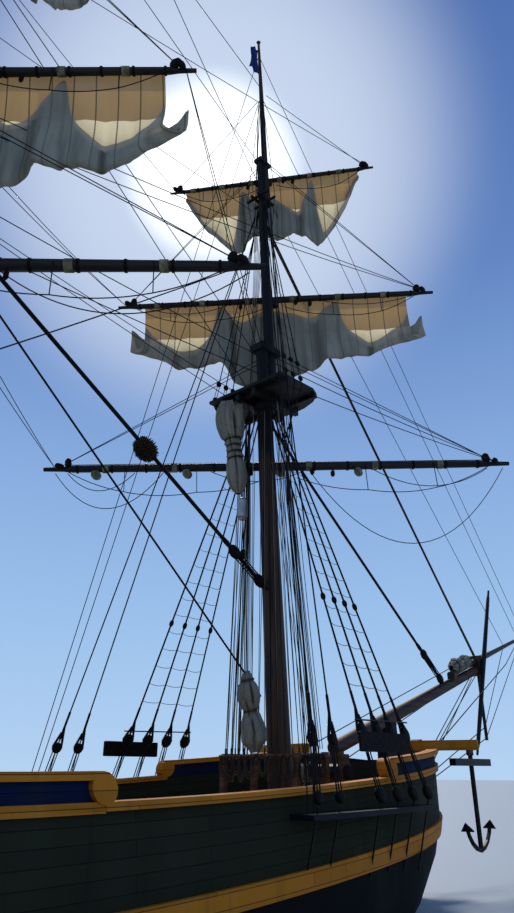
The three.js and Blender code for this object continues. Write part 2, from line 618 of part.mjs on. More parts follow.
// Taper of a yard. Columns: share of the length, share of the radius.
const YARD_STOPS = [
  [0, 0.45], [0.04, 0.55], [0.06, 0.78], [0.3, 0.93], [0.46, 1],
  [0.54, 1], [0.7, 0.93], [0.94, 0.78], [0.96, 0.55], [1, 0.45],
];
function yardSolid(yard) {
  const half = yard.length / 2;
  const truss = trussOf(yard);
  return join(
    spar(vec(0, -half, 0), vec(0, half, 0), YARD_STOPS.map(([at, share]) => [at, share * yard.radius]), 10),
    rod(vec(0, 0, GAP - yard.radius - truss.drop), vec(0, 0, -yard.radius * 0.4), truss.disc * 0.7),
  );
}

// Value at u in a table of [u, value] rows
function tableAt(table, u) {
  let i = 0;
  while (i + 2 < table.length && u > table[i + 1][0]) i++;
  const t = (u - table[i][0]) / (table[i + 1][0] - table[i][0]);
  return table[i][1] + (table[i + 1][1] - table[i][1]) * t * t * (3 - 2 * t);
}

// Clewed-up sails. Each row: share of the width from the port arm, depth of the hanging canvas.
const SAILS = {
  fore_topsail: {
    yard: 'fore_topsail_yard', half: 3950,
    drop: [[0, 1000], [0.05, 1650], [0.14, 2250], [0.275, 1950], [0.37, 2850], [0.6, 2450], [0.71, 2100],
      [0.95, 1900], [1, 950]],
  },
  fore_topgallant_sail: {
    yard: 'fore_topgallant_yard', half: 2850,
    drop: [[0, 250], [0.03, 700], [0.1, 1700], [0.29, 2700], [0.4, 2100], [0.51, 2350], [0.63, 2150],
      [0.744, 2750], [0.855, 1900], [0.94, 1000], [1, 300]],
  },
  main_topsail: {
    yard: 'main_topsail_yard', half: 3850,
    drop: [[0, 800], [0.1, 1700], [0.22, 2100], [0.35, 1600], [0.5, 2200], [0.66, 1700], [0.82, 2200],
      [0.92, 1700], [1, 800]],
  },
  main_topgallant_sail: {
    yard: 'main_topgallant_yard', half: 2850,
    drop: [[0, 300], [0.06, 1400], [0.22, 2750], [0.36, 2150], [0.5, 1250], [0.64, 2150], [0.8, 2800],
      [0.93, 1500], [1, 350]],
  },
};
const SAIL_COLUMNS = 20;
const SAIL_ROWS = 5;
const SAIL_THICK = 80;
function sailSolid({ half, drop }) {
  const rings = [];
  for (let i = 0; i <= SAIL_COLUMNS; i++) {
    const u = i / SAIL_COLUMNS;
    const depth = tableAt(drop, u);
    const back = [];
    for (let j = 0; j <= SAIL_ROWS; j++) {
      const v = (j / SAIL_ROWS) ** 1.25;
      const fall = v * depth;
      const ahead = 30 + 110 * Math.min(fall / 150, 1) + 120 * Math.sin(Math.PI * Math.min(v * 1.1, 1))
        + 30 * (1 + Math.cos(u * 44)) * v;
      back.push([ahead, 20 - fall]);
    }
    const y = half * (1 - 2 * u);
    const front = back.map(([x, z]) => [x + SAIL_THICK, z]).reverse();
    rings.push([...back, ...front].map(([x, z]) => [x, y, z]));
  }
  return loft(rings);
}

// A bundle of canvas along a line from a to b. Rows: share of the length, radius.
function bundle(a, b, rows, sides = 10, squash = 1) {
  const way = vec().subVectors(b, a).normalize();
  const across = vec().crossVectors(way, Math.abs(way.z) > 0.8 ? vec(0, 1, 0) : vec(0, 0, 1)).normalize();
  const over = vec().crossVectors(across, way);
  return loft(rows.map(([share, radius], r) => {
    const centre = vec().lerpVectors(a, b, share);
    return Array.from({ length: sides }, (_, i) => {
      const angle = ((i + (r % 2) * 0.3) / sides) * 2 * Math.PI;
      const point = centre.clone()
        .addScaledVector(across, radius * Math.cos(angle) * squash)
        .addScaledVector(over, radius * Math.sin(angle));
      return [point.x, point.y, point.z];
    });
  }));
}

const innerDeck = (x0, x1, low, high) => innerClear.intersect(slab(x0, x1, low, high));
const deckFoot = (x) => hullTopZ(x) + GAP;
const foreSet = mastSet('fore');
const mainSet = mastSet('main');
const mainDeck = innerDeck(BREAK_AFT_X + GAP, BREAK_FORE_X - GAP, deckFoot, mainDeckZ);
const quarterdeck = cut(innerDeck(AFT_X, BREAK_AFT_X, deckFoot, quarterdeckZ)
  .intersect(insideStern).intersect(forwardOfTransom).subtract(trunk), mainSet.lower);
const foredeck = cut(innerDeck(BREAK_FORE_X, 10120, deckFoot, foredeckZ), keelBody, foreSet.lower);

const rails = { starboard: rail('starboard'), port: rail('port') };

// Channels: the shelves that spread the shrouds. Columns: aft end, forward end.
const CHANNELS = { fore: [1750, 6050], main: [-8000, -3700] };
const CHANNEL_Z = [2060, 2140];
const CHANNEL_OUT = 450;
const channelOuter = envelope(-CHANNEL_OUT);
const channel = ([x0, x1], side) => channelOuter.subtract(skinClear)
  .intersect(slab(x0, x1, CHANNEL_Z[0], CHANNEL_Z[1])).intersect(sideBox(side));

// Catheads rest on the rail and carry the anchors
const CATHEAD = { inner: [8250, 1150], outer: [8950, 3250], half: 110, crossesRailX: 8600, letIn: 45 };
const catheadZ = railZ(CATHEAD.crossesRailX) + FORE_RAIL_RISE + CAP_THICK + CATHEAD.half - CATHEAD.letIn;
function cathead(side) {
  const way = side === 'port' ? 1 : -1;
  const [a, b] = [CATHEAD.inner, CATHEAD.outer];
  const length = Math.hypot(b[0] - a[0], b[1] - a[1]);
  const bar = box(0, length, -CATHEAD.half, CATHEAD.half, -CATHEAD.half, CATHEAD.half);
  const frame = new THREE.Matrix4().makeTranslation(a[0], a[1] * way, catheadZ)
    .multiply(new THREE.Matrix4().makeRotationZ(Math.atan2((b[1] - a[1]) * way, b[0] - a[0])));
  return cut(placed(bar, frame), rails[side]);
}

const ANCHOR = {
  x: 8880, y: 3060, shank: 1900, shankR: 55, hang: 120, crownDip: 40, armR: 48, span: 620, armRise: 480,
  fluke: [[0, -150], [190, 0], [0, 150]], flukeThick: 40, stock: 950, stockHalf: 75, ring: [130, 30],
};
function anchor(side) {
  const y = ANCHOR.y * (side === 'port' ? 1 : -1);
  const top = catheadZ - CATHEAD.half - GAP;
  const crown = top - ANCHOR.hang - ANCHOR.shank;
  const [ringX, ringY] = ANCHOR.ring;
  const arm = (way) => {
    const sweep = new THREE.QuadraticBezierCurve3(
      vec(ANCHOR.x, y, crown),
      vec(ANCHOR.x + way * 420, y, crown + ANCHOR.crownDip),
      vec(ANCHOR.x + way * ANCHOR.span, y, crown + ANCHOR.armRise),
    );
    const palm = new THREE.Matrix4()
      .makeTranslation(ANCHOR.x + way * (ANCHOR.span - 40), y, crown + ANCHOR.armRise - 80)
      .multiply(new THREE.Matrix4().makeRotationY(way > 0 ? -Math.PI / 3 : Math.PI + Math.PI / 3));
    const fluke = plan(ANCHOR.fluke, -ANCHOR.flukeThick / 2, ANCHOR.flukeThick / 2);
    return join(rope(sweep, ANCHOR.armR, 4), placed(fluke, palm));
  };
  return join(
    rod(vec(ANCHOR.x, y, crown), vec(ANCHOR.x, y, top - 60), ANCHOR.shankR, 8),
    box(ANCHOR.x - ringX, ANCHOR.x + ringX, y - ringY, y + ringY, top - 110, top),
    box(ANCHOR.x - ANCHOR.stock, ANCHOR.x + ANCHOR.stock, y - ANCHOR.stockHalf, y + ANCHOR.stockHalf,
      top - 330, top - 180),
    arm(1),
    arm(-1),
  );
}

// Deck fittings
const HATCH = { x: [700, 2300], half: 800, z: [1495, 1870] };
const hatch = cut(box(...HATCH.x, -HATCH.half, HATCH.half, ...HATCH.z), mainDeck);

// The companionway is a box open below, with an open roof abaft that a hatch slides over
const COMPANION = {
  x: [-6900, -5400], half: 600, wall: 50, foot: 1850, top: 2750, hood: -6150, hatchThick: 50,
};
const companionWell = (x0, top) => box(
  x0, COMPANION.x[1] - COMPANION.wall, COMPANION.wall - COMPANION.half, COMPANION.half - COMPANION.wall,
  COMPANION.foot - 150, top);
const companion = cut(
  box(...COMPANION.x, -COMPANION.half, COMPANION.half, COMPANION.foot, COMPANION.top)
    .subtract(companionWell(COMPANION.x[0] + COMPANION.wall, COMPANION.top - COMPANION.wall))
    .subtract(companionWell(COMPANION.hood, COMPANION.top + 10)),
  quarterdeck,
);
const companionHatch = box(COMPANION.hood, COMPANION.x[1] + 20, -COMPANION.half, COMPANION.half,
  COMPANION.top + GAP, COMPANION.top + GAP + COMPANION.hatchThick);

const WINDLASS = { x: 7100, z: 2700, r: 170, journal: 110, half: 950, post: [690, 810], play: 6 };
const BITTS = {
  foot: 2050, head: 3080, deep: 300, beamHead: 2290, beamDeep: 220, pawlX: 7820, pawlEnd: 8060,
};
const acrossRod = (x, z, y0, y1, radius, sides) => rod(vec(x, y0, z), vec(x, y1, z), radius, sides);
function windlassBitts() {
  const { x, z, post, journal, play } = WINDLASS;
  const { foot, head, deep, beamHead, beamDeep, pawlX, pawlEnd } = BITTS;
  const posts = join(
    box(x - deep / 2, x + deep / 2, post[0], post[1], foot, head),
    box(x - deep / 2, x + deep / 2, -post[1], -post[0], foot, head),
    box(x - beamDeep / 2, x + beamDeep / 2, -post[1], post[1], foot, beamHead),
    box(x, pawlEnd, -90, 90, foot, beamHead + 40),
    box(pawlX, pawlEnd, -140, 140, foot, bowspritZ(pawlEnd) - 100),
  );
  const bore = acrossRod(x, z, -2 * post[1], 2 * post[1], journal + play, 16);
  return cut(posts.subtract(bore), foredeck, bowspritSpar);
}
function windlassBarrel() {
  const { x, z, r, journal, half, post } = WINDLASS;
  return join(
    acrossRod(x, z, GAP - post[0], post[0] - GAP, r, 8),
    acrossRod(x, z, -half, half, journal, 16),
    acrossRod(x, z, post[1] + GAP, half, r * 0.9, 8),
    acrossRod(x, z, -half, -post[1] - GAP, r * 0.9, 8),
  );
}

const WHEEL = { x: -8260, z: 2850, rim: 520, tube: 32, reach: 690, hub: 115, hubAft: 70, spokes: 8 };
const SPOKE_STOPS = [[0, 22], [0.74, 18], [0.8, 26], [1, 16]];
const WHEEL_BOX = { x: [-8150, -7700], half: 330, z: [1900, 3080] };
function steeringWheel() {
  const rim = new THREE.TorusGeometry(WHEEL.rim, WHEEL.tube, 5, 20);
  rim.rotateY(Math.PI / 2);
  rim.translate(WHEEL.x, 0, WHEEL.z);
  const spokes = Array.from({ length: WHEEL.spokes }, (_, i) => {
    const angle = (i / WHEEL.spokes) * 2 * Math.PI;
    const tip = vec(WHEEL.x, WHEEL.reach * Math.sin(angle), WHEEL.z + WHEEL.reach * Math.cos(angle));
    return spar(vec(WHEEL.x, 0, WHEEL.z), tip, SPOKE_STOPS, 4);
  });
  const hubStart = vec(WHEEL.x - WHEEL.hubAft, 0, WHEEL.z);
  const hub = rod(hubStart, vec(WHEEL_BOX.x[0] - GAP, 0, WHEEL.z), WHEEL.hub, 12);
  return join(solidOf(rim), hub, ...spokes);
}
const wheelBox = cut(box(...WHEEL_BOX.x, -WHEEL_BOX.half, WHEEL_BOX.half, ...WHEEL_BOX.z), quarterdeck);

// Rudder, hung on the gudgeons of the sternpost
const RUDDER = { half: 80, play: 10, foot: -3300, head: 900, stockR: 110, stockHead: 2480 };
const RUDDER_EDGE = [
  [-9520, 900], [-9600, 300], [-9800, -700], [-10080, -2000], [-10150, -2900], [-10120, -3300],
];
function rudder() {
  const onAxis = (z) => vec(RUDDER_AXIS_X, 0, z);
  const blade = sidePlate([
    [RUDDER_AXIS_X, RUDDER.foot], [RUDDER_AXIS_X, RUDDER.head], ...RUDDER_EDGE,
  ], -RUDDER.half, RUDDER.half);
  const nose = rod(onAxis(RUDDER.foot), onAxis(RUDDER.head), RUDDER.half, 16);
  const stock = rod(onAxis(RUDDER.head - 50), onAxis(RUDDER.stockHead), RUDDER.stockR, 16);
  const gaps = GUDGEON_Z.map((z) => {
    const reach = GUDGEON_THICK / 2 + RUDDER.play;
    return join(
      rod(onAxis(z - reach), onAxis(z + reach), GUDGEON_R + RUDDER.play, 16),
      box(RUDDER_AXIS_X, RUDDER_AXIS_X + 200, -300, 300, z - reach, z + reach),
    );
  });
  return gaps.reduce((left, gap) => left.subtract(gap), join(blade, nose, stock));
}

// Screw blades. Columns: distance from the shaft, width, twist in radians.
const BLADES = 3;
const BLADE_STATIONS = [[90, 130, 0.9], [260, 210, 0.7], [430, 220, 0.5], [560, 150, 0.4], [600, 60, 0.35]];
// Section of a blade. Columns: share of half its width, thickness to one side.
const BLADE_SECTION = [[-1, 0], [-0.4, 12], [0.4, 12], [1, 0], [0.4, -12], [-0.4, -12]];
function propeller() {
  const { aft, fore, radius } = PROPELLER_HUB;
  const blade = loft(BLADE_STATIONS.map(([out, width, twist]) => BLADE_SECTION.map(([share, thick]) => {
    const along = share * width * 0.5;
    const [sine, cosine] = [Math.sin(twist), Math.cos(twist)];
    return [along * sine + thick * cosine, along * cosine - thick * sine, out];
  })));
  const blades = Array.from({ length: BLADES }, (_, i) => blade.rotate([(360 / BLADES) * i, 0, 0])
    .translate([PROPELLER_X, 0, SHAFT_Z]));
  const hub = rod(vec(PROPELLER_X + aft, 0, SHAFT_Z), vec(PROPELLER_X + fore, 0, SHAFT_Z), radius, 12);
  return join(hub, ...blades);
}

// Bowsprit with its cap, jibboom above it, spritsail yard lashed to its starboard side
const JIBBOOM_OVER = 285;
const jibboomZ = (x) => bowspritZ(x) + JIBBOOM_OVER;
const jibboom = spar(
  vec(JIBBOOM_HEEL_X, 0, jibboomZ(JIBBOOM_HEEL_X)),
  vec(JIBBOOM_END_X, 0, jibboomZ(JIBBOOM_END_X)),
  [[0, JIBBOOM_R], [0.35, JIBBOOM_R], [1, JIBBOOM_R * 0.55]],
);
// Cap and saddle that hold the jibboom on the bowsprit. Columns: aft end, forward end, half width, low, high.
const BOWSPRIT_CAP = [17060, 17220, 190, bowspritZ(17130) - 220, bowspritZ(17130) + 470];
const HEEL_SADDLE = [14960, 15160, 130, bowspritZ(15060), bowspritZ(15060) + 300];
const holder = ([x0, x1, half, low, high]) => box(x0, x1, -half, half, low, high);
const bowsprit = join(bowspritSpar, cut(join(holder(BOWSPRIT_CAP), holder(HEEL_SADDLE)), jibboom));

// The spritsail yard is topped up beside the bowsprit's end. Its tilt is in radians from upright.
const SPRITSAIL = { x: 17140, half: 3300, tilt: 0.46, radius: 85, y: -274.1 };
const spritsailEnd = (way) => vec(
  SPRITSAIL.x + way * SPRITSAIL.half * Math.sin(SPRITSAIL.tilt), SPRITSAIL.y,
  bowspritZ(SPRITSAIL.x) + 120 + way * SPRITSAIL.half * Math.cos(SPRITSAIL.tilt));
const spritsailStops = YARD_STOPS.map(([at, share]) => [at, share * SPRITSAIL.radius]);
const spritsailYard = spar(spritsailEnd(-1), spritsailEnd(1), spritsailStops, 10);

// Spanker boom with the gaff lowered on it and the sail furled between
const boomPivot = onMast('main', BOOM_PIVOT.ahead, 0, BOOM_PIVOT.z);
const boomSlope = (BOOM_TIP[1] - boomPivot.z) / (BOOM_TIP[0] - boomPivot.x);
const boomAt = (x, rise) => vec(x, 0, boomPivot.z + (x - boomPivot.x) * boomSlope + rise);
const boom = join(
  spar(boomAt(boomPivot.x + 60, 0), boomAt(BOOM_TIP[0], 0), [[0, 90], [0.3, BOOM_R], [0.75, 105], [1, 70]]),
  placed(up(BOOM_PIVOT.ahead, BOOM_PIVOT.z - BOOM_R - GOOSENECK.drop + GAP, BOOM_PIVOT.z, [[0, 70], [1, 70]]),
    mastFrame('main')),
);
const GAFF = { end: -10500, rise: [430, 470] };
const gaff = spar(
  boomAt(boomPivot.x - 230, GAFF.rise[0]), boomAt(GAFF.end, GAFF.rise[1]), [[0, 90], [0.5, 85], [1, 55]], 10);
const SPANKER = { end: -11000, rise: [235, 240] };
const spanker = cut(bundle(boomAt(boomPivot.x - 350, SPANKER.rise[0]), boomAt(SPANKER.end, SPANKER.rise[1]), [
  [0, 90], [0.04, 150], [0.12, 175], [0.2, 160], [0.28, 190], [0.37, 165], [0.46, 195], [0.55, 165],
  [0.64, 185], [0.73, 150], [0.82, 160], [0.9, 125], [0.97, 110], [1, 60],
]), boom, gaff);

// Principal stays
const STAY_R = 34;
const stayBetween = (a, b, ...ends) => cut(rod(a, b, STAY_R, 6), ...ends);
const FORESTAY_FOOT_X = 14450;
const MAINSTAY_FOOT_Z = 6600;
const TOPMAST_STAY = { z: 18350, footX: 17150, over: 70 };
const foreStay = stayBetween(
  onMast('fore', 0, 0, 11480), vec(FORESTAY_FOOT_X, 0, bowspritZ(FORESTAY_FOOT_X)), foreSet.lower, bowsprit);
const mainStay = stayBetween(
  onMast('main', 0, 0, MASTS.main.hounds), onMast('fore', 0, 0, MAINSTAY_FOOT_Z),
  mainSet.lower, foreSet.lower,
);
const topmastStay = stayBetween(
  onMast('fore', TOPMAST_AHEAD, 0, TOPMAST_STAY.z),
  vec(TOPMAST_STAY.footX, 0, jibboomZ(TOPMAST_STAY.footX) + TOPMAST_STAY.over),
  foreSet.topmast, bowsprit, jibboom,
);

// Furled headsail on the jibboom, furled staysail under the fore top, pennant below the fore truck
const HEADSAIL = { x: [15050, 16600], over: [190, 170] };
const headsails = cut(bundle(
  ...HEADSAIL.x.map((x, i) => vec(x, 0, jibboomZ(x) + HEADSAIL.over[i])),
  [[0, 70], [0.1, 170], [0.3, 230], [0.5, 200], [0.7, 220], [0.9, 150], [1, 60]],
), jibboom, bowsprit, spritsailYard);
const staysail = cut(bundle(
  onMast('fore', -640, 700, 11850), vec(4850, 600, 9250), [
    [0, 200], [0.06, 330], [0.2, 350], [0.36, 290], [0.5, 215], [0.66, 250], [0.82, 270], [0.94, 200],
    [1, 90],
  ],
), foreSet.top);
const PENNANT_BELOW_TRUCK = 450;
const pennantTop = onMast('fore', AXIS_AHEAD.topgallant, 0, MASTS.fore.truck - PENNANT_BELOW_TRUCK);
const pennantEdge = [[-12, 0], [12, 0], [30, -600], [-20, -1500], [-42, -1500], [-45, -600]];
const pennant = cut(
  endPlate(pennantEdge, -300, 0).translate([pennantTop.x, 0, pennantTop.z]), foreSet.topgallant);

const COLOURS = {
  topside_green: [0x26302a, 0.55, 0],
  ochre: [0xc07a1e, 0.5, 0],
  panel_blue: [0x16264f, 0.5, 0],
  bottom: [0x1b1a19, 0.6, 0],
  deck: [0x9a8766, 0.8, 0],
  mast: [0x6d4a2f, 0.6, 0],
  black_spar: [0x1d1a17, 0.6, 0],
  rigging: [0x1a1714, 0.9, 0],
  canvas: [0xcdbf9f, 0.9, 0],
  iron: [0x1c1d1e, 0.55, 0.6],
  bronze: [0x9c7434, 0.4, 0.9],
  varnish: [0x7a4a22, 0.4, 0],
  pennant_blue: [0x1f3fae, 0.8, 0],
};
const finish = Object.fromEntries(Object.entries(COLOURS).map(([name, [color, roughness, metalness]]) => [
  name, new THREE.MeshStandardMaterial({ color, roughness, metalness }),
]));

const ship = new THREE.Group();
function piece(name, solid, look) {
  const mesh = new THREE.Mesh(geometryOf(solid), finish[look]);
  mesh.name = name;
  ship.add(mesh);
}

piece('hull', hull, 'topside_green');
piece('keel_and_stem', keel, 'bottom');
piece('transom', transom(), 'panel_blue');
piece('main_deck', mainDeck, 'deck');
piece('quarterdeck', quarterdeck, 'deck');
piece('foredeck', foredeck, 'deck');
for (const side of ['starboard', 'port']) {
  piece(`bulwark_${side}`, bulwark(side), 'topside_green');
  piece(`rail_${side}`, rails[side], 'ochre');
  piece(`wale_${side}`, wale(side), 'ochre');
  piece(`channel_fore_${side}`, channel(CHANNELS.fore, side), 'black_spar');
  piece(`channel_main_${side}`, channel(CHANNELS.main, side), 'black_spar');
  piece(`cathead_${side}`, cathead(side), 'ochre');
  piece(`anchor_${side}`, anchor(side), 'iron');
}
piece('main_hatch', hatch, 'varnish');
piece('companion', companion, 'varnish');
piece('companion_hatch', companionHatch, 'varnish');
piece('windlass_bitts', windlassBitts(), 'varnish');
piece('windlass_barrel', windlassBarrel(), 'varnish');
piece('wheel_box', wheelBox, 'varnish');
piece('steering_wheel', steeringWheel(), 'varnish');
piece('rudder', rudder(), 'bottom');
piece('propeller', propeller(), 'bronze');
piece('fore_mast', foreSet.lower, 'mast');
piece('fore_top', foreSet.top, 'black_spar');
piece('fore_topmast', foreSet.topmast, 'black_spar');
piece('fore_topgallant_mast', foreSet.topgallant, 'mast');
piece('main_mast', mainSet.lower, 'mast');
piece('main_top', mainSet.top, 'black_spar');
piece('main_topmast', mainSet.topmast, 'black_spar');
piece('main_topgallant_mast', mainSet.topgallant, 'mast');
piece('bowsprit', bowsprit, 'mast');
piece('jibboom', jibboom, 'black_spar');
piece('spritsail_yard', spritsailYard, 'black_spar');
for (const [name, yard] of Object.entries(YARDS)) {
  piece(name, placed(yardSolid(yard), yardFrame(yard)), 'black_spar');
}
for (const [name, sail] of Object.entries(SAILS)) {
  const yard = YARDS[sail.yard];
  piece(name, placed(cut(sailSolid(sail), yardSolid(yard)), yardFrame(yard)), 'canvas');
}
piece('main_boom', boom, 'mast');
piece('main_gaff', gaff, 'mast');
piece('spanker_furled', spanker, 'canvas');
piece('staysail_bundle', staysail, 'canvas');
piece('headsail_bundle', headsails, 'canvas');
piece('forestay', foreStay, 'rigging');
piece('mainstay', mainStay, 'rigging');
piece('fore_topmast_stay', topmastStay, 'rigging');
piece('pennant', pennant, 'pennant_blue');

export default ship;
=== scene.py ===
import math
from collections import namedtuple

import bpy
from mathutils import Matrix, Vector


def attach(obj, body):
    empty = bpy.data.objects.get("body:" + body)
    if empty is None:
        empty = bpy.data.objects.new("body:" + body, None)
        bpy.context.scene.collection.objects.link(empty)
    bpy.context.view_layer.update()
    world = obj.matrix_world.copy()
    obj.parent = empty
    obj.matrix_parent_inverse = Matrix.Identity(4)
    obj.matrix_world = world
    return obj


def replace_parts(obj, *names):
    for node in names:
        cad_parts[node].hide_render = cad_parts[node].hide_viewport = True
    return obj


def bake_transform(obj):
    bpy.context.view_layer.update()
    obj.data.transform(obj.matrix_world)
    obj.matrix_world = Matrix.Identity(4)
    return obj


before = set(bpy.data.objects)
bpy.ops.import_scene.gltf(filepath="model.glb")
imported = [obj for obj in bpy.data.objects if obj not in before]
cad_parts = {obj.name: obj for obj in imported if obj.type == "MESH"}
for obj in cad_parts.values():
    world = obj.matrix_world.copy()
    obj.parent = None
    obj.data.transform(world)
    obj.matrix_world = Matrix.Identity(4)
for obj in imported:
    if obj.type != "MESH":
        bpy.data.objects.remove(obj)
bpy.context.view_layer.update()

# The view
# A camera at eye level on the ship's starboard quarter looks forward and up the rig.
# The water is a plain pale floor at the waterline, under a soft studio sky with a key light beyond the sails.

PHOTO_HEIGHT = 913
FOCAL_PIXELS = 684
SENSOR = 36
SEES_TO = 400
EYE = Vector((-7.49, -10.37, 2.75))
VIEW_AZIMUTH = math.radians(40)
VIEW_PITCH = math.radians(24.6)
KEY_AZIMUTH = math.radians(45)
KEY_ELEVATION = math.radians(47)
KEY_STRENGTH = 3.2
KEY_SPREAD = math.radians(9)
KEY_LIGHT = (1.0, 0.95, 0.86)
FLOOR_SIZE = 400
# The sky's colours from the horizon up, each with the upward part of the direction looked in
SKY = ((0.0, "#b4d2f2"), (0.18, "#9dc2ec"), (0.42, "#84a8dc"), (0.62, "#6487c4"), (0.85, "#4f70b0"))
# Two glows round the key light: the cosine of the angle off it where each starts, its fade and its colour
GLOWS = ((0.92, "SMOOTHERSTEP", (0.58, 0.68, 0.86, 1)), (0.991, "SMOOTHSTEP", (1.6, 1.65, 1.7, 1)))


def linear(hex_colour):
    """An sRGB hex colour as linear RGBA."""
    channels = [int(hex_colour[i:i + 2], 16) / 255 for i in (1, 3, 5)]
    return tuple(c / 12.92 if c <= 0.04045 else ((c + 0.055) / 1.055) ** 2.4 for c in channels) + (1.0,)


def add_node(tree, kind, inputs=None, **settings):
    """Adds a node with its settings, and sets or links its inputs by name or place."""
    node = tree.nodes.new(kind)
    for setting, value in settings.items():
        setattr(node, setting, value)
    for socket, value in (inputs or {}).items():
        if isinstance(value, bpy.types.NodeSocket):
            tree.links.new(value, node.inputs[socket])
        else:
            node.inputs[socket].default_value = value
    return node


def towards(azimuth, elevation):
    """The direction that an azimuth and an elevation give."""
    level = math.cos(elevation)
    return Vector((math.cos(azimuth) * level, math.sin(azimuth) * level, math.sin(elevation)))


camera = bpy.data.objects.new("eye_level_camera", bpy.data.cameras.new("eye_level_camera"))
bpy.context.scene.collection.objects.link(camera)
camera.data.sensor_width = SENSOR
camera.data.lens = FOCAL_PIXELS / PHOTO_HEIGHT * SENSOR
camera.data.clip_end = SEES_TO
camera.location = EYE
camera.rotation_euler = towards(VIEW_AZIMUTH, VIEW_PITCH).to_track_quat("-Z", "Y").to_euler()
bpy.context.scene.camera = camera

towards_key = towards(KEY_AZIMUTH, KEY_ELEVATION)
sky = bpy.data.worlds.new("studio_sky")
sky.use_nodes = True
sky_tree = sky.node_tree
way = add_node(sky_tree, "ShaderNodeTexCoord").outputs["Generated"]
upward = add_node(sky_tree, "ShaderNodeSeparateXYZ", {0: way}).outputs["Z"]
height_ramp = add_node(sky_tree, "ShaderNodeValToRGB", {0: upward})
stops = height_ramp.color_ramp.elements
for stop, (place, tone) in zip(stops, (SKY[0], SKY[-1])):
    stop.position = place
    stop.color = linear(tone)
for place, tone in SKY[1:-1]:
    stops.new(place).color = linear(tone)
nearness = add_node(
    sky_tree, "ShaderNodeVectorMath", {0: way, 1: tuple(towards_key)}, operation="DOT_PRODUCT"
).outputs["Value"]
sky_light = height_ramp.outputs[0]
for start, fade, light in GLOWS:
    glow = add_node(
        sky_tree, "ShaderNodeMapRange", {"Value": nearness, "From Min": start, "From Max": 1.0},
        interpolation_type=fade).outputs[0]
    sky_light = add_node(
        sky_tree, "ShaderNodeMix", {0: glow, 6: sky_light, 7: light}, data_type="RGBA").outputs[2]
sky_tree.links.new(sky_light, sky_tree.nodes["Background"].inputs["Color"])
bpy.context.scene.world = sky
bpy.context.scene.view_settings.view_transform = "Standard"

key = bpy.data.objects.new("key_light", bpy.data.lights.new("key_light", "SUN"))
key.data.energy = KEY_STRENGTH
key.data.angle = KEY_SPREAD
key.data.color = KEY_LIGHT
key.rotation_euler = towards_key.to_track_quat("Z", "Y").to_euler()
bpy.context.scene.collection.objects.link(key)

bpy.ops.object.select_all(action="DESELECT")
bpy.ops.mesh.primitive_plane_add(size=FLOOR_SIZE, location=(0, 0, 0))
floor = bpy.context.object
floor.name = "floor"
# Still water as a plain floor: grey and matt, with nothing mirrored in it
floor_look = bpy.data.materials.new("pale_floor")
floor_look.use_nodes = True
floor_look.node_tree.nodes["Principled BSDF"].inputs["Base Color"].default_value = linear("#8b959d")
floor_look.node_tree.nodes["Principled BSDF"].inputs["Roughness"].default_value = 0.6
floor.data.materials.append(floor_look)

# Hull planking
# Carvel-laid pine planks over oak frames, each about 180 mm wide, caulked with pitch and painted by brush.
# They are dark green above the wale, black below it and dull red under the waterline, and the raised bulwarks
# at the two ends are dark blue panels.

PLANK_WIDTH = 0.18
PLANK_LENGTH = 3.4
SEAM = 0.006
SHEER_LOW_X = -3.0
SHEER_CURVE = 0.0036
WALE_Z = 1.15
WALE_CURVE = 0.00432
RAIL_Z = 2.3
RAIL_CAP = 0.1
BOOT_TOP_Z = 0.22


def start_material(name, roughness, metallic=0.0, shine=0.25):
    """A new material, its node tree, its main shader and its Object coordinates."""
    material = bpy.data.materials.new(name)
    material.use_nodes = True
    tree = material.node_tree
    shader = tree.nodes["Principled BSDF"]
    shader.inputs["Roughness"].default_value = roughness
    shader.inputs["Metallic"].default_value = metallic
    shader.inputs["Specular IOR Level"].default_value = shine
    place = add_node(tree, "ShaderNodeTexCoord").outputs["Object"]
    return material, tree, shader, place


def above_sheer(tree, place, curve):
    """Height above the run of the planks, which rises towards both ends, and the x and z coordinates."""
    axes = add_node(tree, "ShaderNodeSeparateXYZ", {0: place})
    from_low = add_node(
        tree, "ShaderNodeMath", {0: axes.outputs["X"], 1: -SHEER_LOW_X}, operation="ADD").outputs[0]
    squared = add_node(tree, "ShaderNodeMath", {0: from_low, 1: from_low}, operation="MULTIPLY").outputs[0]
    rise = add_node(tree, "ShaderNodeMath", {0: squared, 1: curve}, operation="MULTIPLY").outputs[0]
    over = add_node(tree, "ShaderNodeMath", {0: axes.outputs["Z"], 1: rise}, operation="SUBTRACT").outputs[0]
    return over, axes.outputs["X"], axes.outputs["Z"]


def lay_over(tree, colour, mask, strength, tone):
    """The colour with a tone laid over it where the mask is, at a share of full strength."""
    share = mask
    if strength < 1:
        share = add_node(tree, "ShaderNodeMath", {0: mask, 1: strength}, operation="MULTIPLY").outputs[0]
    laid = add_node(tree, "ShaderNodeMix", {0: share, 6: colour, 7: linear(tone)}, data_type="RGBA")
    return laid.outputs[2]


def relief(tree, shader, patterns, strength, depth):
    """Raises the surface where its patterns are, each by its own rise; a negative rise cuts a groove."""
    height = 0.0
    for pattern, rise in patterns:
        height = add_node(
            tree, "ShaderNodeMath", {0: pattern, 1: rise, 2: height}, operation="MULTIPLY_ADD").outputs[0]
    raised = add_node(tree, "ShaderNodeBump", {"Height": height, "Strength": strength, "Distance": depth})
    tree.links.new(raised.outputs[0], shader.inputs["Normal"])


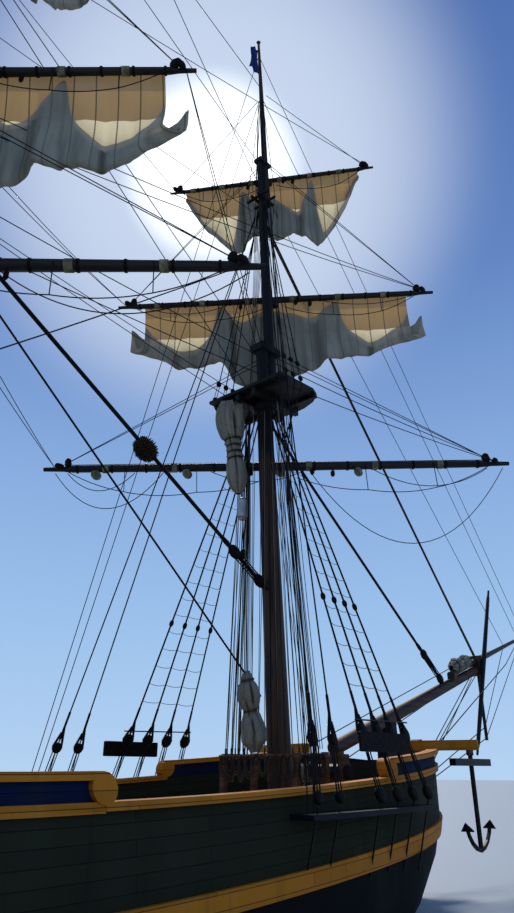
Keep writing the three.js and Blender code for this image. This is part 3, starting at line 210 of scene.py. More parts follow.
def patches(tree, place, scale, detail=4.0, low=0.4, high=0.65, stretch=(1, 1, 1)):
    """Soft patches from 0 to 1, stretched along an axis where stretch is small."""
    mapped = add_node(tree, "ShaderNodeMapping", {"Vector": place, "Scale": stretch}).outputs[0]
    noise = add_node(tree, "ShaderNodeTexNoise", {"Vector": mapped, "Scale": scale, "Detail": detail})
    return add_node(
        tree, "ShaderNodeMapRange", {"Value": noise.outputs[0], "From Min": low, "From Max": high}).outputs[0]


def plank_lines(tree, u, v, length, width, seam):
    """A pattern of planks: its colour is each plank's own shade, and its factor is 1 in the seams."""
    flat = add_node(tree, "ShaderNodeCombineXYZ", {"X": u, "Y": v}).outputs[0]
    return add_node(
        tree, "ShaderNodeTexBrick",
        {
            "Vector": flat, "Color1": (0, 0, 0, 1), "Color2": (1, 1, 1, 1), "Mortar": (0.5, 0.5, 0.5, 1),
            "Scale": 1.0, "Mortar Size": seam, "Mortar Smooth": 0.4, "Bias": 0.0,
            "Brick Width": length, "Row Height": width,
        },
        offset=0.37,
    )


def shade_planks(tree, shader, planks, colour, spread, darkest):
    """Paints the surface with the colour, each plank in its own shade of it."""
    shade = add_node(
        tree, "ShaderNodeMath", {0: planks.outputs["Color"], 1: spread, 2: darkest}, operation="MULTIPLY_ADD")
    shaded = add_node(tree, "ShaderNodeHueSaturation", {"Value": shade.outputs[0], "Color": colour})
    tree.links.new(shaded.outputs[0], shader.inputs["Base Color"])


def planked_paint(name, paint, worn, roughness, hull_bands=False):
    """Brushed paint on sawn planks: dull satin, with rubbed seams, runs of dirt and chalky patches."""
    material, tree, shader, place = start_material(name, roughness, shine=0.12)
    over_sheer, along, height = above_sheer(tree, place, SHEER_CURVE)
    planks = plank_lines(tree, along, over_sheer, PLANK_LENGTH, PLANK_WIDTH, SEAM)
    colour = linear(paint)
    if hull_bands:
        for value, side, limit, tone in (
            (above_sheer(tree, place, WALE_CURVE)[0], "LESS_THAN", WALE_Z, "#100f0d"),
            (over_sheer, "GREATER_THAN", RAIL_Z + RAIL_CAP / 2, "#0a1a38"),
            (height, "LESS_THAN", BOOT_TOP_Z, "#4a1c16"),
        ):
            band = add_node(tree, "ShaderNodeMath", {0: value, 1: limit}, operation=side).outputs[0]
            colour = lay_over(tree, colour, band, 1, tone)
    colour = lay_over(tree, colour, patches(tree, place, 1.3, 6, 0.5, 0.75, (1, 1, 0.35)), 0.35, worn)
    colour = lay_over(tree, colour, patches(tree, place, 5.0, 5, 0.56, 0.8, (1, 1, 0.07)), 0.35, "#0f0e0c")
    colour = lay_over(tree, colour, planks.outputs["Fac"], 0.75, "#0a0908")
    shade_planks(tree, shader, planks, colour, 0.3, 0.85)
    grain = patches(tree, place, 9.0, 6, 0.3, 0.7, (0.12, 1, 6))
    relief(tree, shader, ((grain, 0.12), (planks.outputs["Fac"], -1)), 0.6, 0.006)
    return material


def dress(node, material):
    """Gives a CAD node its finish."""
    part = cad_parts[node]
    part.data.materials.clear()
    part.data.materials.append(material)


def smoothed_copy(node, material, angle, body="ship"):
    """A copy of a CAD node with merged corners and smooth shading, shown in the node's place."""
    bpy.ops.object.select_all(action="DESELECT")
    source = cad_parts[node]
    piece = bpy.data.objects.new(f"{node}_finish", source.data.copy())
    bpy.context.scene.collection.objects.link(piece)
    bpy.context.view_layer.objects.active = piece
    piece.select_set(True)
    bpy.ops.object.mode_set(mode="EDIT")
    bpy.ops.mesh.select_all(action="SELECT")
    bpy.ops.mesh.remove_doubles(threshold=0.00005)
    bpy.ops.mesh.dissolve_limited(angle_limit=math.radians(0.3))
    bpy.ops.object.mode_set(mode="OBJECT")
    bpy.ops.object.shade_smooth_by_angle(angle=math.radians(angle))
    piece.data.materials.clear()
    piece.data.materials.append(material)
    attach(piece, body)
    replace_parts(piece, node)


# Years of green paint: almost black in the shade, with a dry, chalky bloom and dark seams
topside_paint = planked_paint("weathered_green_topside_paint", "#292a1a", "#37382a", 0.8, hull_bands=True)
smoothed_copy("hull", topside_paint, 40)
for side in ("starboard", "port"):
    smoothed_copy(f"bulwark_{side}", topside_paint, 30)
# Black paint over pitch: a dull sheen, rubbed grey where water and lines chafe it
bottom_paint = planked_paint("black_stem_paint", "#17171a", "#35363a", 0.6)
dress("keel_and_stem", bottom_paint)
dress("rudder", bottom_paint)

# Rails, wales and catheads
# Sawn fir and oak strakes, painted a golden ochre that is brushed on thick and rubs bare at the corners.
# They are bolted along the sides, and carry the planking's own seams and grain under the paint.

# Thick ochre oil paint: warm and satin, paler where it is worn
ochre_paint = planked_paint("golden_ochre_paint", "#c07216", "#cf9440", 0.6)
for side in ("starboard", "port"):
    smoothed_copy(f"rail_{side}", ochre_paint, 30)
    smoothed_copy(f"wale_{side}", ochre_paint, 30)
    dress(f"cathead_{side}", ochre_paint)

# Transom
# Wide boards across the stern, painted dark blue inside and out, under an ochre taffrail.
# Sawn mouldings in the same ochre are nailed on as rails and stiles that frame four plain panels.

TRANSOM_X = -9.78
TRANSOM_Z = 0.1
STERN_RAKE = 0.24
UPRIGHT = (0, 0, 1)

# Dark blue oil paint: deep and satin, dulled by salt
blue_paint = planked_paint("dark_blue_panel_paint", "#0b1c3c", "#22304f", 0.6)
dress("transom", blue_paint)


def as_template(made):
    """The mesh of a finished object, which itself is taken away."""
    mesh = made.data
    bpy.data.objects.remove(made)
    return mesh


def unit_box(name, bevel):
    """A unit box with softened edges."""
    bpy.ops.mesh.primitive_cube_add(size=1)
    template = bpy.context.object
    template.name = name
    bpy.ops.object.mode_set(mode="EDIT")
    bpy.ops.mesh.select_all(action="SELECT")
    bpy.ops.mesh.bevel(offset=bevel, segments=2, affect="EDGES")
    bpy.ops.object.mode_set(mode="OBJECT")
    return as_template(template)


def copies(name, template, places, material, body="ship"):
    """Copies of a unit mesh as one piece: each place is a point, the way its z axis points and its size."""
    clones = []
    for point, way, size in places:
        clone = bpy.data.objects.new(name, template.copy())
        bpy.context.scene.collection.objects.link(clone)
        turn = Vector(way).to_track_quat("Z", "Y").to_matrix().to_4x4()
        clone.data.transform(Matrix.Translation(point) @ turn @ Matrix.Diagonal((*size, 1)))
        clones.append(clone)
    bpy.ops.object.select_all(action="DESELECT")
    for clone in clones:
        clone.select_set(True)
    bpy.context.view_layer.objects.active = clones[0]
    if len(clones) > 1:
        bpy.ops.object.join()
    piece = bpy.context.view_layer.objects.active
    piece.name = name
    piece.data.materials.clear()
    piece.data.materials.append(material)
    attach(piece, body)


def on_transom(side, height):
    """A point on the raked face of the transom."""
    return TRANSOM_X - STERN_RAKE * (height - TRANSOM_Z), side, height


box_template = unit_box("box", 0.04)
mouldings = [
    (on_transom(0, height), UPRIGHT, (0.05, 2 * half, 0.07)) for height, half in ((2.0, 2.05), (2.92, 1.8))
]
mouldings += [
    (on_transom(side, 2.46), (-STERN_RAKE, 0, 1), (0.045, 0.07, 0.9))
    for side in (-1.65, -0.83, 0.0, 0.83, 1.65)
]
copies("transom_mouldings", box_template, mouldings, ochre_paint)

# Decks
# Straight-laid pine planks 120 mm wide are spiked to the beams, caulked with pitch and scrubbed grey-brown.
# They cover the main deck in the waist, the quarterdeck abaft it and the foredeck before it.

DECK_PLANK_WIDTH = 0.12
DECK_PLANK_LENGTH = 4.2
DECK_SEAM = 0.007


def scrubbed_deck():
    """Bare pine scrubbed with salt water: pale, dry and matt, each plank its own shade, with black seams."""
    material, tree, shader, place = start_material("scrubbed_pine_deck", 0.75)
    axes = add_node(tree, "ShaderNodeSeparateXYZ", {0: place})
    planks = plank_lines(
        tree, axes.outputs["X"], axes.outputs["Y"], DECK_PLANK_LENGTH, DECK_PLANK_WIDTH, DECK_SEAM)
    colour = lay_over(tree, linear("#a08a68"), patches(tree, place, 0.9, 5, 0.4, 0.7), 1, "#8a7a64")
    grain = patches(tree, place, 14.0, 6, 0.35, 0.7, (0.08, 1, 1))
    colour = lay_over(tree, colour, grain, 0.4, "#6a573d")
    colour = lay_over(tree, colour, planks.outputs["Fac"], 1, "#14110e")
    shade_planks(tree, shader, planks, colour, 0.35, 0.8)
    relief(tree, shader, ((grain, 0.2), (planks.outputs["Fac"], -1)), 0.5, 0.004)
    return material


deck_look = scrubbed_deck()
for deck in ("main_deck", "quarterdeck", "foredeck"):
    dress(deck, deck_look)

# Masts, tops and spars
# Douglas fir trees, oiled brown and weathered in long streaks, with tarred black-brown tops, caps and yards.
# The lower masts are tarred from below the tops up, where the rigging chafes them.

MASTHEAD_TAR_Z = 10.15
TAR_FADE = 0.5
ALONG_GRAIN = 0.035
# Each yard: its mast, how far ahead of it, its height, half length and radius, how many degrees it is braced
# round, and its body
Yard = namedtuple("Yard", "mast ahead height half radius brace body")
YARDS = {
    "fore_yard": Yard("fore", 0.62, 10.17, 6.3, 0.125, 43, "fore_course_yard"),
    "fore_topsail_yard": Yard("fore", 0.74, 15.59, 4.735, 0.098, 38, "fore_topsail_yard"),
    "fore_topgallant_yard": Yard("fore", 0.82, 20.3, 3.35, 0.075, 32, "fore_topgallant_yard"),
    "main_yard": Yard("main", 0.62, 10.7, 5.8, 0.125, 43, "main_course_yard"),
    "main_topsail_yard": Yard("main", 0.74, 15.5, 4.5, 0.098, 41, "main_topsail_yard"),
    "main_topgallant_yard": Yard("main", 0.82, 20.1, 3.3, 0.075, 34, "main_topgallant_yard"),
}


def weathered_spar(name, wood, streak, roughness, along="Z", tarred_above=None):
    """Oiled or tarred wood: a low sheen, with dark streaks and drying cracks that run along the spar."""
    material, tree, shader, place = start_material(name, roughness)
    stretch = (1, 1, ALONG_GRAIN) if along == "Z" else (ALONG_GRAIN, ALONG_GRAIN, 1)
    streaks = patches(tree, place, 9.0, 6, 0.38, 0.66, stretch)
    colour = lay_over(tree, linear(wood), streaks, 1, streak)
    cracks = patches(tree, place, 26.0, 3, 0.6, 0.68, stretch)
    colour = lay_over(tree, colour, cracks, 0.8, "#0c0907")
    if tarred_above:
        height = add_node(tree, "ShaderNodeSeparateXYZ", {0: place}).outputs["Z"]
        edge = add_node(
            tree, "ShaderNodeMath", {0: streaks, 1: TAR_FADE, 2: height}, operation="MULTIPLY_ADD").outputs[0]
        tarred = add_node(tree, "ShaderNodeMapRange", {
            "Value": edge, "From Min": tarred_above, "From Max": tarred_above + TAR_FADE}).outputs[0]
        colour = lay_over(tree, colour, tarred, 1, "#12100e")
    tree.links.new(colour, shader.inputs["Base Color"])
    relief(tree, shader, ((streaks, 0.4), (cracks, -1)), 0.5, 0.006)
    return material


# Oiled fir: warm brown and satin, and dull black where it is tarred
mast_wood = weathered_spar("oiled_mast_wood", "#5a4030", "#2b211b", 0.6, tarred_above=MASTHEAD_TAR_Z)
# Fir oiled many times: deep brown with a soft sheen
pole_wood = weathered_spar("oiled_topgallant_wood", "#4a3020", "#241811", 0.6)
# Fir under thick tar: near black and dull, its grain just showing
tarred_mast_wood = weathered_spar("tarred_mast_wood", "#1c1612", "#0f0d0b", 0.6)
# Fir tarred more thinly: black-brown with a low sheen
tarred_yard_wood = weathered_spar("tarred_yard_wood", "#2a221b", "#15120f", 0.5, along="XY")
# Oiled fir that is handled daily: reddish brown and satin
boom_wood = weathered_spar("oiled_boom_wood", "#543622", "#271a12", 0.6, along="XY")
for mast in ("fore", "main"):
    smoothed_copy(f"{mast}_mast", mast_wood, 35)
    smoothed_copy(f"{mast}_topgallant_mast", pole_wood, 40)
    smoothed_copy(f"{mast}_topmast", tarred_mast_wood, 35)
    dress(f"{mast}_top", tarred_mast_wood)
smoothed_copy("bowsprit", boom_wood, 35)
smoothed_copy("jibboom", tarred_yard_wood, 40)
smoothed_copy("spritsail_yard", tarred_mast_wood, 40)
for yard, facts in YARDS.items():
    smoothed_copy(yard, tarred_yard_wood, 40, facts.body)
smoothed_copy("main_boom", boom_wood, 40, "boom")
smoothed_copy("main_gaff", boom_wood, 40, "boom")

# Lower shrouds, ratlines and channels
# Four tarred hemp shrouds a side spread from each masthead to deadeyes, with two backstays abaft them.
# Lanyards set them up on channels, whose iron chainplates are bolted to the side, and ratlines cross them.

RAKE = math.radians(3.1)
RAKE_FROM = 3.0
MAST_AT = {"fore": 5.65, "main": -4.1}
HOUNDS = {"fore": 11.65, "main": 12.3}
SHROUDS_AT = {"fore": (5.8, 5.15, 4.5, 3.85), "main": (-3.95, -4.6, -5.25, -5.9)}
BACKSTAYS_AT = {"fore": (2.6, 2.0), "main": (-7.15, -7.75)}
CHANNEL_EDGE = ((-8.0, 3.04), (-6.0, 3.36), (-4.0, 3.54), (-1.5, 3.62), (1.5, 3.62), (4.0, 3.61), (6.1, 3.47))
LOWER_DEADEYE_Z = 2.36
UPPER_DEADEYE_Z = 3.4
SIDES = {"port": 1, "starboard": -1}
CHAINPLATE_IN = 0.33
CHAINPLATE_FOOT_Z = 1.05
TRUCKS_Z = 6.05
RATLINES_FROM_Z = 4.25
RATLINE_STEP = 0.405
TOPMAST_HOUNDS = {"fore": 19.0, "main": 19.2}


def on_mast(mast, ahead, side, height):
    """A point on or near a mast, by its distance ahead, to port and along the raked mast."""
    up = height - RAKE_FROM
    return Vector((
        MAST_AT[mast] + ahead * math.cos(RAKE) - up * math.sin(RAKE), side,
        RAKE_FROM + ahead * math.sin(RAKE) + up * math.cos(RAKE),
    ))


def channel_edge(x):
    """Distance of the deadeyes from the centreline."""
    for (x0, y0), (x1, y1) in zip(CHANNEL_EDGE, CHANNEL_EDGE[1:]):
        if x <= x1:
            return y0 + (y1 - y0) * (x - x0) / (x1 - x0)
    return CHANNEL_EDGE[-1][1]


def hang(a, b, sag, count=12):
    """Points of a rope that hangs slack from a to b."""
    return [
        a.lerp(b, i / count) - Vector((0, 0, 4 * sag * (i / count) * (1 - i / count)))
        for i in range(count + 1)
    ]


def at_height(low, high, height):
    """The point of a straight line at a height."""
    return low.lerp(high, (height - low.z) / (high.z - low.z))


def shroud_foot(x, way, height=LOWER_DEADEYE_Z):
    """The place on a channel's edge where a shroud or backstay comes down."""
    return Vector((x, way * channel_edge(x), height))


def shroud_head(mast, way, number):
    """The place below a lower masthead where one of its shrouds starts."""
    return on_mast(mast, 0.16 - 0.13 * number, way * 0.3, HOUNDS[mast] - 0.05)


def rope_look(name, dark, light, roughness):
    """Laid rope: two shades of dry fibre, with painted shade in dark bands across where its strands turn
    under.
    """
    material, tree, shader, place = start_material(name, roughness)
    # Real strands cross a rope every 10 to 20 mm, too fine to show, so the bands are drawn 57 mm apart
    strands = add_node(
        tree, "ShaderNodeTexWave", {"Vector": place, "Scale": 11.0, "Distortion": 0.0},
        bands_direction="DIAGONAL").outputs["Fac"]
    colour = lay_over(tree, linear(dark), patches(tree, place, 2.0), 1, light)
    # The dark bands are painted shade in the grooves between the strands
    tree.links.new(lay_over(tree, colour, strands, 0.35, "#050403"), shader.inputs["Base Color"])
    relief(tree, shader, ((strands, 1),), 0.5, 0.004)
    return material


def mottled(name, tones, scale, detail, roughness, metallic=0.0, shine=0.25):
    """A plain finish whose two tones shift in soft patches."""
    material, tree, shader, place = start_material(name, roughness, metallic, shine)
    colour = lay_over(tree, linear(tones[0]), patches(tree, place, scale, detail), 1, tones[1])
    tree.links.new(colour, shader.inputs["Base Color"])
    return material


def ropes(name, runs, radius, material, body="ship", around=1):
    """Ropes of one thickness as one piece, from lists of points. With no body it is left unattached."""
    curve = bpy.data.curves.new(name, "CURVE")
    curve.dimensions = "3D"
    curve.bevel_depth = radius
    curve.bevel_resolution = around
    curve.use_fill_caps = True
    for run in runs:
        spline = curve.splines.new("POLY")
        spline.points.add(len(run) - 1)
        for point, place in zip(spline.points, run):
            point.co = (*place, 1)
    piece = bpy.data.objects.new(name, curve)
    bpy.context.scene.collection.objects.link(piece)
    bpy.ops.object.select_all(action="DESELECT")
    bpy.context.view_layer.objects.active = piece
    piece.select_set(True)
    bpy.ops.object.convert(target="MESH")
    bpy.ops.object.shade_smooth_by_angle(angle=math.radians(70))
    piece.data.materials.clear()
    piece.data.materials.append(material)
    if body:
        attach(piece, body)
    return piece


def unit_round(name, segments=12, rings=7, groove=0.0):
    """A unit ball; with a groove round its middle it is a block's shell in its strop."""
    bpy.ops.mesh.primitive_uv_sphere_add(segments=segments, ring_count=rings, radius=1)
    template = bpy.context.object
    template.name = name
    if groove:
        bpy.ops.object.mode_set(mode="EDIT")
        bpy.ops.mesh.select_all(action="DESELECT")
        bpy.ops.object.mode_set(mode="OBJECT")
        for vertex in template.data.vertices:
            vertex.select = abs(vertex.co.z) < 0.1
        bpy.ops.object.mode_set(mode="EDIT")
        bpy.ops.transform.resize(value=(1 - groove, 1 - groove, 1))
        bpy.ops.object.mode_set(mode="OBJECT")
    bpy.ops.object.shade_smooth()
    return as_template(template)


def unit_cylinder(name, sides=14, bevel=0.12):
    """A unit cylinder, one high and one in radius, with softened edges."""
    bpy.ops.mesh.primitive_cylinder_add(vertices=sides, radius=1, depth=1)
    template = bpy.context.object
    template.name = name
    if bevel:
        bpy.ops.object.mode_set(mode="EDIT")
        bpy.ops.mesh.select_all(action="SELECT")
        bpy.ops.mesh.bevel(offset=bevel, segments=2, affect="EDGES")
        bpy.ops.object.mode_set(mode="OBJECT")
    bpy.ops.object.shade_smooth_by_angle(angle=math.radians(50))
    return as_template(template)


# Hemp served and tarred: black and dry, with a brown cast in the light
tarred_rope = rope_look("tarred_hemp_rope", "#0f0c0a", "#1b1611", 0.9)
# Manila bleached by weather: silver-grey and hairy
grey_rope = rope_look("weathered_manila_rope", "#8d826c", "#a89c82", 0.85)
# Manila with a thin coat of pine tar: dark straw
brown_rope = rope_look("stockholm_tarred_manila_rope", "#3a2f24", "#54452f", 0.85)
# Elm soaked in tar: black-brown and almost without shine
black_wood = mottled("tarred_elm_blocks", ("#0e0b09", "#1f1711"), 12.0, 4, 0.7, shine=0.1)
# Forged iron, painted black: a broken sheen with rust bleeding through
black_iron = mottled("black_painted_iron", ("#1a1a1c", "#33291f"), 9.0, 5, 0.5, 0.7)

deadeye = unit_cylinder("deadeye", 14, 0.3)
ball = unit_round("ball", 10, 6)
block = unit_round("block", 12, 8, 0.12)


def shroud_rig(mast):
    """The shrouds, backstays, lanyards, chainplates and ratlines of one lower mast."""
    shrouds, stays, thick, lanyards, plates, ratlines, poles = [], [], [], [], [], [], []
    deadeyes, trucks = [], []
    for way in SIDES.values():
        lines = []
        for i, x in enumerate(SHROUDS_AT[mast] + BACKSTAYS_AT[mast]):
            is_shroud = i < 4
            foot = shroud_foot(x, way)
            top = on_mast(mast, 0.2, way * 0.16, TOPMAST_HOUNDS[mast] - 0.1 * i)
            size, upper_z = 0.1, UPPER_DEADEYE_Z - 0.2
            if is_shroud:
                top = shroud_head(mast, way, i)
                size, upper_z = 0.135, UPPER_DEADEYE_Z
            upper = at_height(foot, top, upper_z)
            along = (top - foot).normalized()
            outward = along.cross(Vector((1, 0, 0))).normalized() * -way
            deadeyes += [(end, outward, (size, size, 0.1)) for end in (foot, upper)]
            fore_aft = along.cross(outward).normalized()
            for shift in (-0.07, 0.0, 0.07):
                lanyards.append([
                    foot + fore_aft * shift + along * 0.06, upper + fore_aft * shift - along * 0.06])
            lanyards.append([foot + fore_aft * 0.07 + along * 0.05, upper - along * 0.05])
            for turn in range(4):
                lanyards.append([
                    upper + along * (0.17 + 0.03 * turn) + fore_aft * 0.05 + outward * 0.02,
                    upper + along * (0.18 + 0.03 * turn) - fore_aft * 0.05 + outward * 0.02])
            loop = [
                upper + fore_aft * (size + 0.01) * math.cos(a) - along * (size + 0.01) * math.sin(a)
                for a in (0.0, 0.6, 1.2, 1.8, 2.4, math.pi)
            ]
            thick.append([upper + along * 0.42, *loop, upper + along * 0.3 - fore_aft * 0.02])
            thick.append([upper + along * 0.2, upper + along * 0.75])
            (shrouds if is_shroud else stays).append([upper + along * size, top])
            plate_foot = Vector((x, way * (channel_edge(x) - CHAINPLATE_IN), CHAINPLATE_FOOT_Z))
            plates.append([foot - Vector((0, 0, 0.12)), plate_foot])
            if is_shroud:
                lines.append((foot, top))
                trucks.append((at_height(foot, top, TRUCKS_Z), along, (0.055, 0.055, 0.09)))
        height = RATLINES_FROM_Z
        while height < HOUNDS[mast] - 0.9:
            across = [at_height(foot, top, height) for foot, top in lines]
            run = []
            for a, b in zip(across, across[1:]):
                run += hang(a, b, 0.035 + 0.012 * math.sin(height * 9 + a.x), 4)[:-1]
            ratlines.append(run + [across[-1]])
            height += RATLINE_STEP
        pole = [at_height(foot, top, UPPER_DEADEYE_Z + 0.2) for foot, top in (lines[0], lines[-1])]
        poles.append([
            pole[0] + Vector((0.18, way * 0.04, 0.02)), pole[1] + Vector((-0.18, way * 0.04, -0.02))])
    ropes(f"{mast}_shrouds", shrouds, 0.021, tarred_rope)
    ropes(f"{mast}_backstays", stays, 0.016, tarred_rope)
    ropes(f"{mast}_shroud_ends", thick, 0.027, tarred_rope)
    ropes(f"{mast}_lanyards", lanyards, 0.012, tarred_rope)
    ropes(f"{mast}_chainplates", plates, 0.016, black_iron)
    ropes(f"{mast}_ratlines", ratlines, 0.0065, brown_rope, around=0)
    ropes(f"{mast}_sheer_poles", poles, 0.016, black_iron)
    copies(f"{mast}_deadeyes", deadeye, deadeyes, black_wood)
    copies(f"{mast}_shroud_trucks", ball, trucks, black_wood)


for mast in MAST_AT:
    shroud_rig(mast)

# Futtock, topmast and topgallant shrouds
# Thinner shrouds carry on from the tops' edges to the crosstrees, and from there to the topgallant masts.
# Short futtock shrouds run in under the tops and hold their edges down against the lower shrouds.

TOP_Z = {"fore": 12.04, "main": 12.69}
TOP_HALF = 1.24
CROSSTREES_Z = {"fore": 19.14, "main": 19.34}
TOPMAST_AHEAD = 0.34
TOPGALLANT_AHEAD = 0.58
TOPGALLANT_HOUNDS = {"fore": 23.9, "main": 24.6}
TRUCK_Z = {"fore": 26.6, "main": 27.4}
TOP_DEADEYES = (-0.62, -0.3, 0.02)


def upper_shrouds(mast):
    """What stands between the top and the topgallant hounds of one mast."""
    shrouds, thin, futtocks, ratlines, lanyards, deadeyes = [], [], [], [], [], []
    floor_z = TOP_Z[mast]
    for way in SIDES.values():
        lines = []
        for i, ahead in enumerate(TOP_DEADEYES):
            foot = on_mast(mast, ahead, way * TOP_HALF, floor_z + 0.12)
            top = on_mast(mast, TOPMAST_AHEAD + 0.05 - 0.05 * i, way * 0.14, TOPMAST_HOUNDS[mast] - 0.15)
            along = (top - foot).normalized()
            upper = foot + along * 0.5
            outward = along.cross(Vector((1, 0, 0))).normalized() * -way
            deadeyes += [(foot, outward, (0.08, 0.08, 0.07)), (upper, outward, (0.08, 0.08, 0.07))]
            for shift in (-0.04, 0.04):
                lanyards.append([foot + Vector((shift, 0, 0.04)), upper + Vector((shift, 0, -0.04))])
            shrouds.append([upper, top])
            lines.append((upper, top))
            stave = at_height(
                shroud_foot(SHROUDS_AT[mast][i], way), shroud_head(mast, way, i), HOUNDS[mast] - 1.35)
            futtocks.append([stave, on_mast(mast, ahead, way * (TOP_HALF + 0.03), floor_z - 0.1), foot])
        height = floor_z + 1.0
        while height < TOPMAST_HOUNDS[mast] - 0.8:
            across = [at_height(foot, top, height) for foot, top in lines]
            ratlines.append(hang(across[0], across[1], 0.02, 3)[:-1] + hang(across[1], across[2], 0.02, 3))
            height += 0.4
        for i, ahead in enumerate((-0.22, 0.14)):
            arm = on_mast(mast, TOPMAST_AHEAD + ahead, way * 0.41, CROSSTREES_Z[mast] + 0.06)
            up_to = on_mast(mast, TOPGALLANT_AHEAD, way * 0.04, TOPGALLANT_HOUNDS[mast] - 0.1 * i)
            down_to = on_mast(mast, TOPMAST_AHEAD + ahead * 0.8, way * 0.27, CROSSTREES_Z[mast] - 1.1)
            thin += [[arm, up_to], [arm, down_to]]
        for i, height in enumerate((TOPGALLANT_HOUNDS[mast] - 0.05, TRUCK_Z[mast] - 0.75)):
            x = BACKSTAYS_AT[mast][1] - 0.12 - 0.16 * i
            thin.append([
                on_mast(mast, TOPGALLANT_AHEAD, way * 0.05, height),
                shroud_foot(x, way, LOWER_DEADEYE_Z + 0.35),
                shroud_foot(x, way, LOWER_DEADEYE_Z - 0.2),
            ])
    ropes(f"{mast}_topmast_shrouds", shrouds, 0.015, tarred_rope)
    ropes(f"{mast}_topgallant_shrouds", thin, 0.01, tarred_rope)
    ropes(f"{mast}_futtock_shrouds", futtocks, 0.017, tarred_rope)
    ropes(f"{mast}_top_lanyards", lanyards, 0.009, tarred_rope)
    ropes(f"{mast}_topmast_ratlines", ratlines, 0.006, brown_rope, around=0)
    copies(f"{mast}_top_deadeyes", deadeye, deadeyes, black_wood)


for mast in MAST_AT:
    upper_shrouds(mast)

# Fore-and-aft stays
# Hemp stays lead forward and down from each mast to the next one and to the bowsprit and jibboom.
# Hearts with many turns of lanyard set up the lower ones, and a shaggy chafing mat hangs on the main stay.

STEM_X = 10.35
BOWSPRIT_AT_STEM = 3.985
STEEVE = 0.3
JIBBOOM_OVER = 0.285
GOLDEN_ANGLE = 2.399963


def bowsprit_axis(x, over=0.0):
    """A point on or above the middle of the bowsprit."""
    return Vector((x, 0, BOWSPRIT_AT_STEM + STEEVE * (x - STEM_X) + over))


def jibboom_axis(x, over=0.0, side=0.0):
    """A point on, above or beside the middle of the jibboom."""
    return bowsprit_axis(x, JIBBOOM_OVER) + Vector((0, side, over))


# Each served stay: its two ends and its radius
SERVED_STAYS = {
    "mainstay": (on_mast("main", 0, 0, 12.3), on_mast("fore", 0, 0, 6.6), 0.044),
    "forestay": (on_mast("fore", 0, 0, 11.48), bowsprit_axis(14.45), 0.04),
}
for node, (start, end, radius) in SERVED_STAYS.items():
    points = [start.lerp(end, i / 40) for i in range(41)]
    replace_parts(ropes(f"{node}_served", [points], radius, tarred_rope, around=2), node)
parts = []
for across, over in ((-0.035, 0.0), (0.035, 0.0), (0.0, 0.04), (0.0, -0.04)):
    shift = Vector((0, across, over))
    parts.append([on_mast("fore", 0.34, 0, 18.35) + shift, jibboom_axis(17.15, 0.07) + shift * 0.7])
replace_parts(ropes("fore_topmast_stay_parts", parts, 0.014, brown_rope), "fore_topmast_stay")

ropes("main_preventer_stay", [[on_mast("main", 0.2, 0, 11.9), Vector((5.0, 0, 4.25))]], 0.022, tarred_rope)
ropes("head_stays", [
    [on_mast("fore", 0.5, 0.0, 19.6), jibboom_axis(20.0, 0.09)],
    [on_mast("fore", TOPGALLANT_AHEAD, 0, 23.9), jibboom_axis(21.7, 0.07)],
    [on_mast("fore", TOPGALLANT_AHEAD, 0, 25.85), jibboom_axis(22.45, 0.05)],
    [on_mast("fore", 0.45, 0.07, 18.3), jibboom_axis(17.4, 0.1, 0.08)],
    [on_mast("fore", 0.45, -0.07, 18.2), jibboom_axis(16.9, 0.1, -0.08)],
], 0.011, tarred_rope)
ropes("topmast_stays", [
    [on_mast("main", 0.45, 0.0, 18.95), on_mast("fore", -0.2, 0.0, 13.2)],
    [on_mast("main", 0.45, 0.1, 18.7), on_mast("fore", -0.24, 0.1, 11.85)],
    [on_mast("main", TOPGALLANT_AHEAD, 0, 24.6), on_mast("fore", 0.2, 0, 20.62)],
    [on_mast("main", TOPGALLANT_AHEAD, 0, 26.85), on_mast("fore", 0.52, 0, 24.3)],
], 0.012, tarred_rope)
ropes("under_bowsprit", [
    [bowsprit_axis(16.9, -0.2), Vector((11.15, 0, 1.9))],
    [bowsprit_axis(16.6, -0.2), Vector((10.95, 0, 1.35))],
    [jibboom_axis(22.2), Vector((17.25, 0, 3.75)), Vector((11.2, 0, 2.0))],
    [jibboom_axis(20.0), Vector((17.25, 0, 4.1)), Vector((11.2, 0, 2.1))],
    *[[bowsprit_axis(16.8), Vector((10.2, way * 1.25, 3.0))] for way in SIDES.values()],
    *[[jibboom_axis(21.9), Vector((17.1, way * 1.1, 6.1)), Vector((9.4, way * 2.0, 3.3))]
      for way in SIDES.values()],
], 0.015, tarred_rope)
unit_bar = unit_cylinder("bar", 12, 0.0)
copies("dolphin_striker", unit_bar, [((17.25, 0, 4.75), UPRIGHT, (0.055, 0.055, 2.15))], tarred_mast_wood)


def heart_set(stay, first, second, size):
    """Two hearts at shares of a stay's length, with their lanyard turns between them."""
    top, foot, _ = SERVED_STAYS[stay]
    start = top.lerp(foot, first)
    end = top.lerp(foot, second)
    way = (end - start).normalized()
    across = way.cross(Vector((0, 1, 0))).normalized()
    side = way.cross(across)
    turns = [
        [start + across * size * 0.5 * math.cos(a) + side * size * 0.3 * math.sin(a),
         end + across * size * 0.5 * math.cos(a + 0.3) + side * size * 0.3 * math.sin(a + 0.3)]
        for a in (math.tau * i / 8 for i in range(8))
    ]
    ropes(f"{stay}_lanyard", turns, 0.014, tarred_rope)
    copies(f"{stay}_hearts", ball, [
        (start, way, (size * 0.45, size * 0.75, size)), (end, way, (size * 0.45, size * 0.75, size)),
        (start - way * size * 1.6, way, (0.06, 0.06, size * 1.4)),
    ], black_wood)


heart_set("forestay", 0.86, 0.965, 0.2)
heart_set("mainstay", 0.86, 0.95, 0.21)


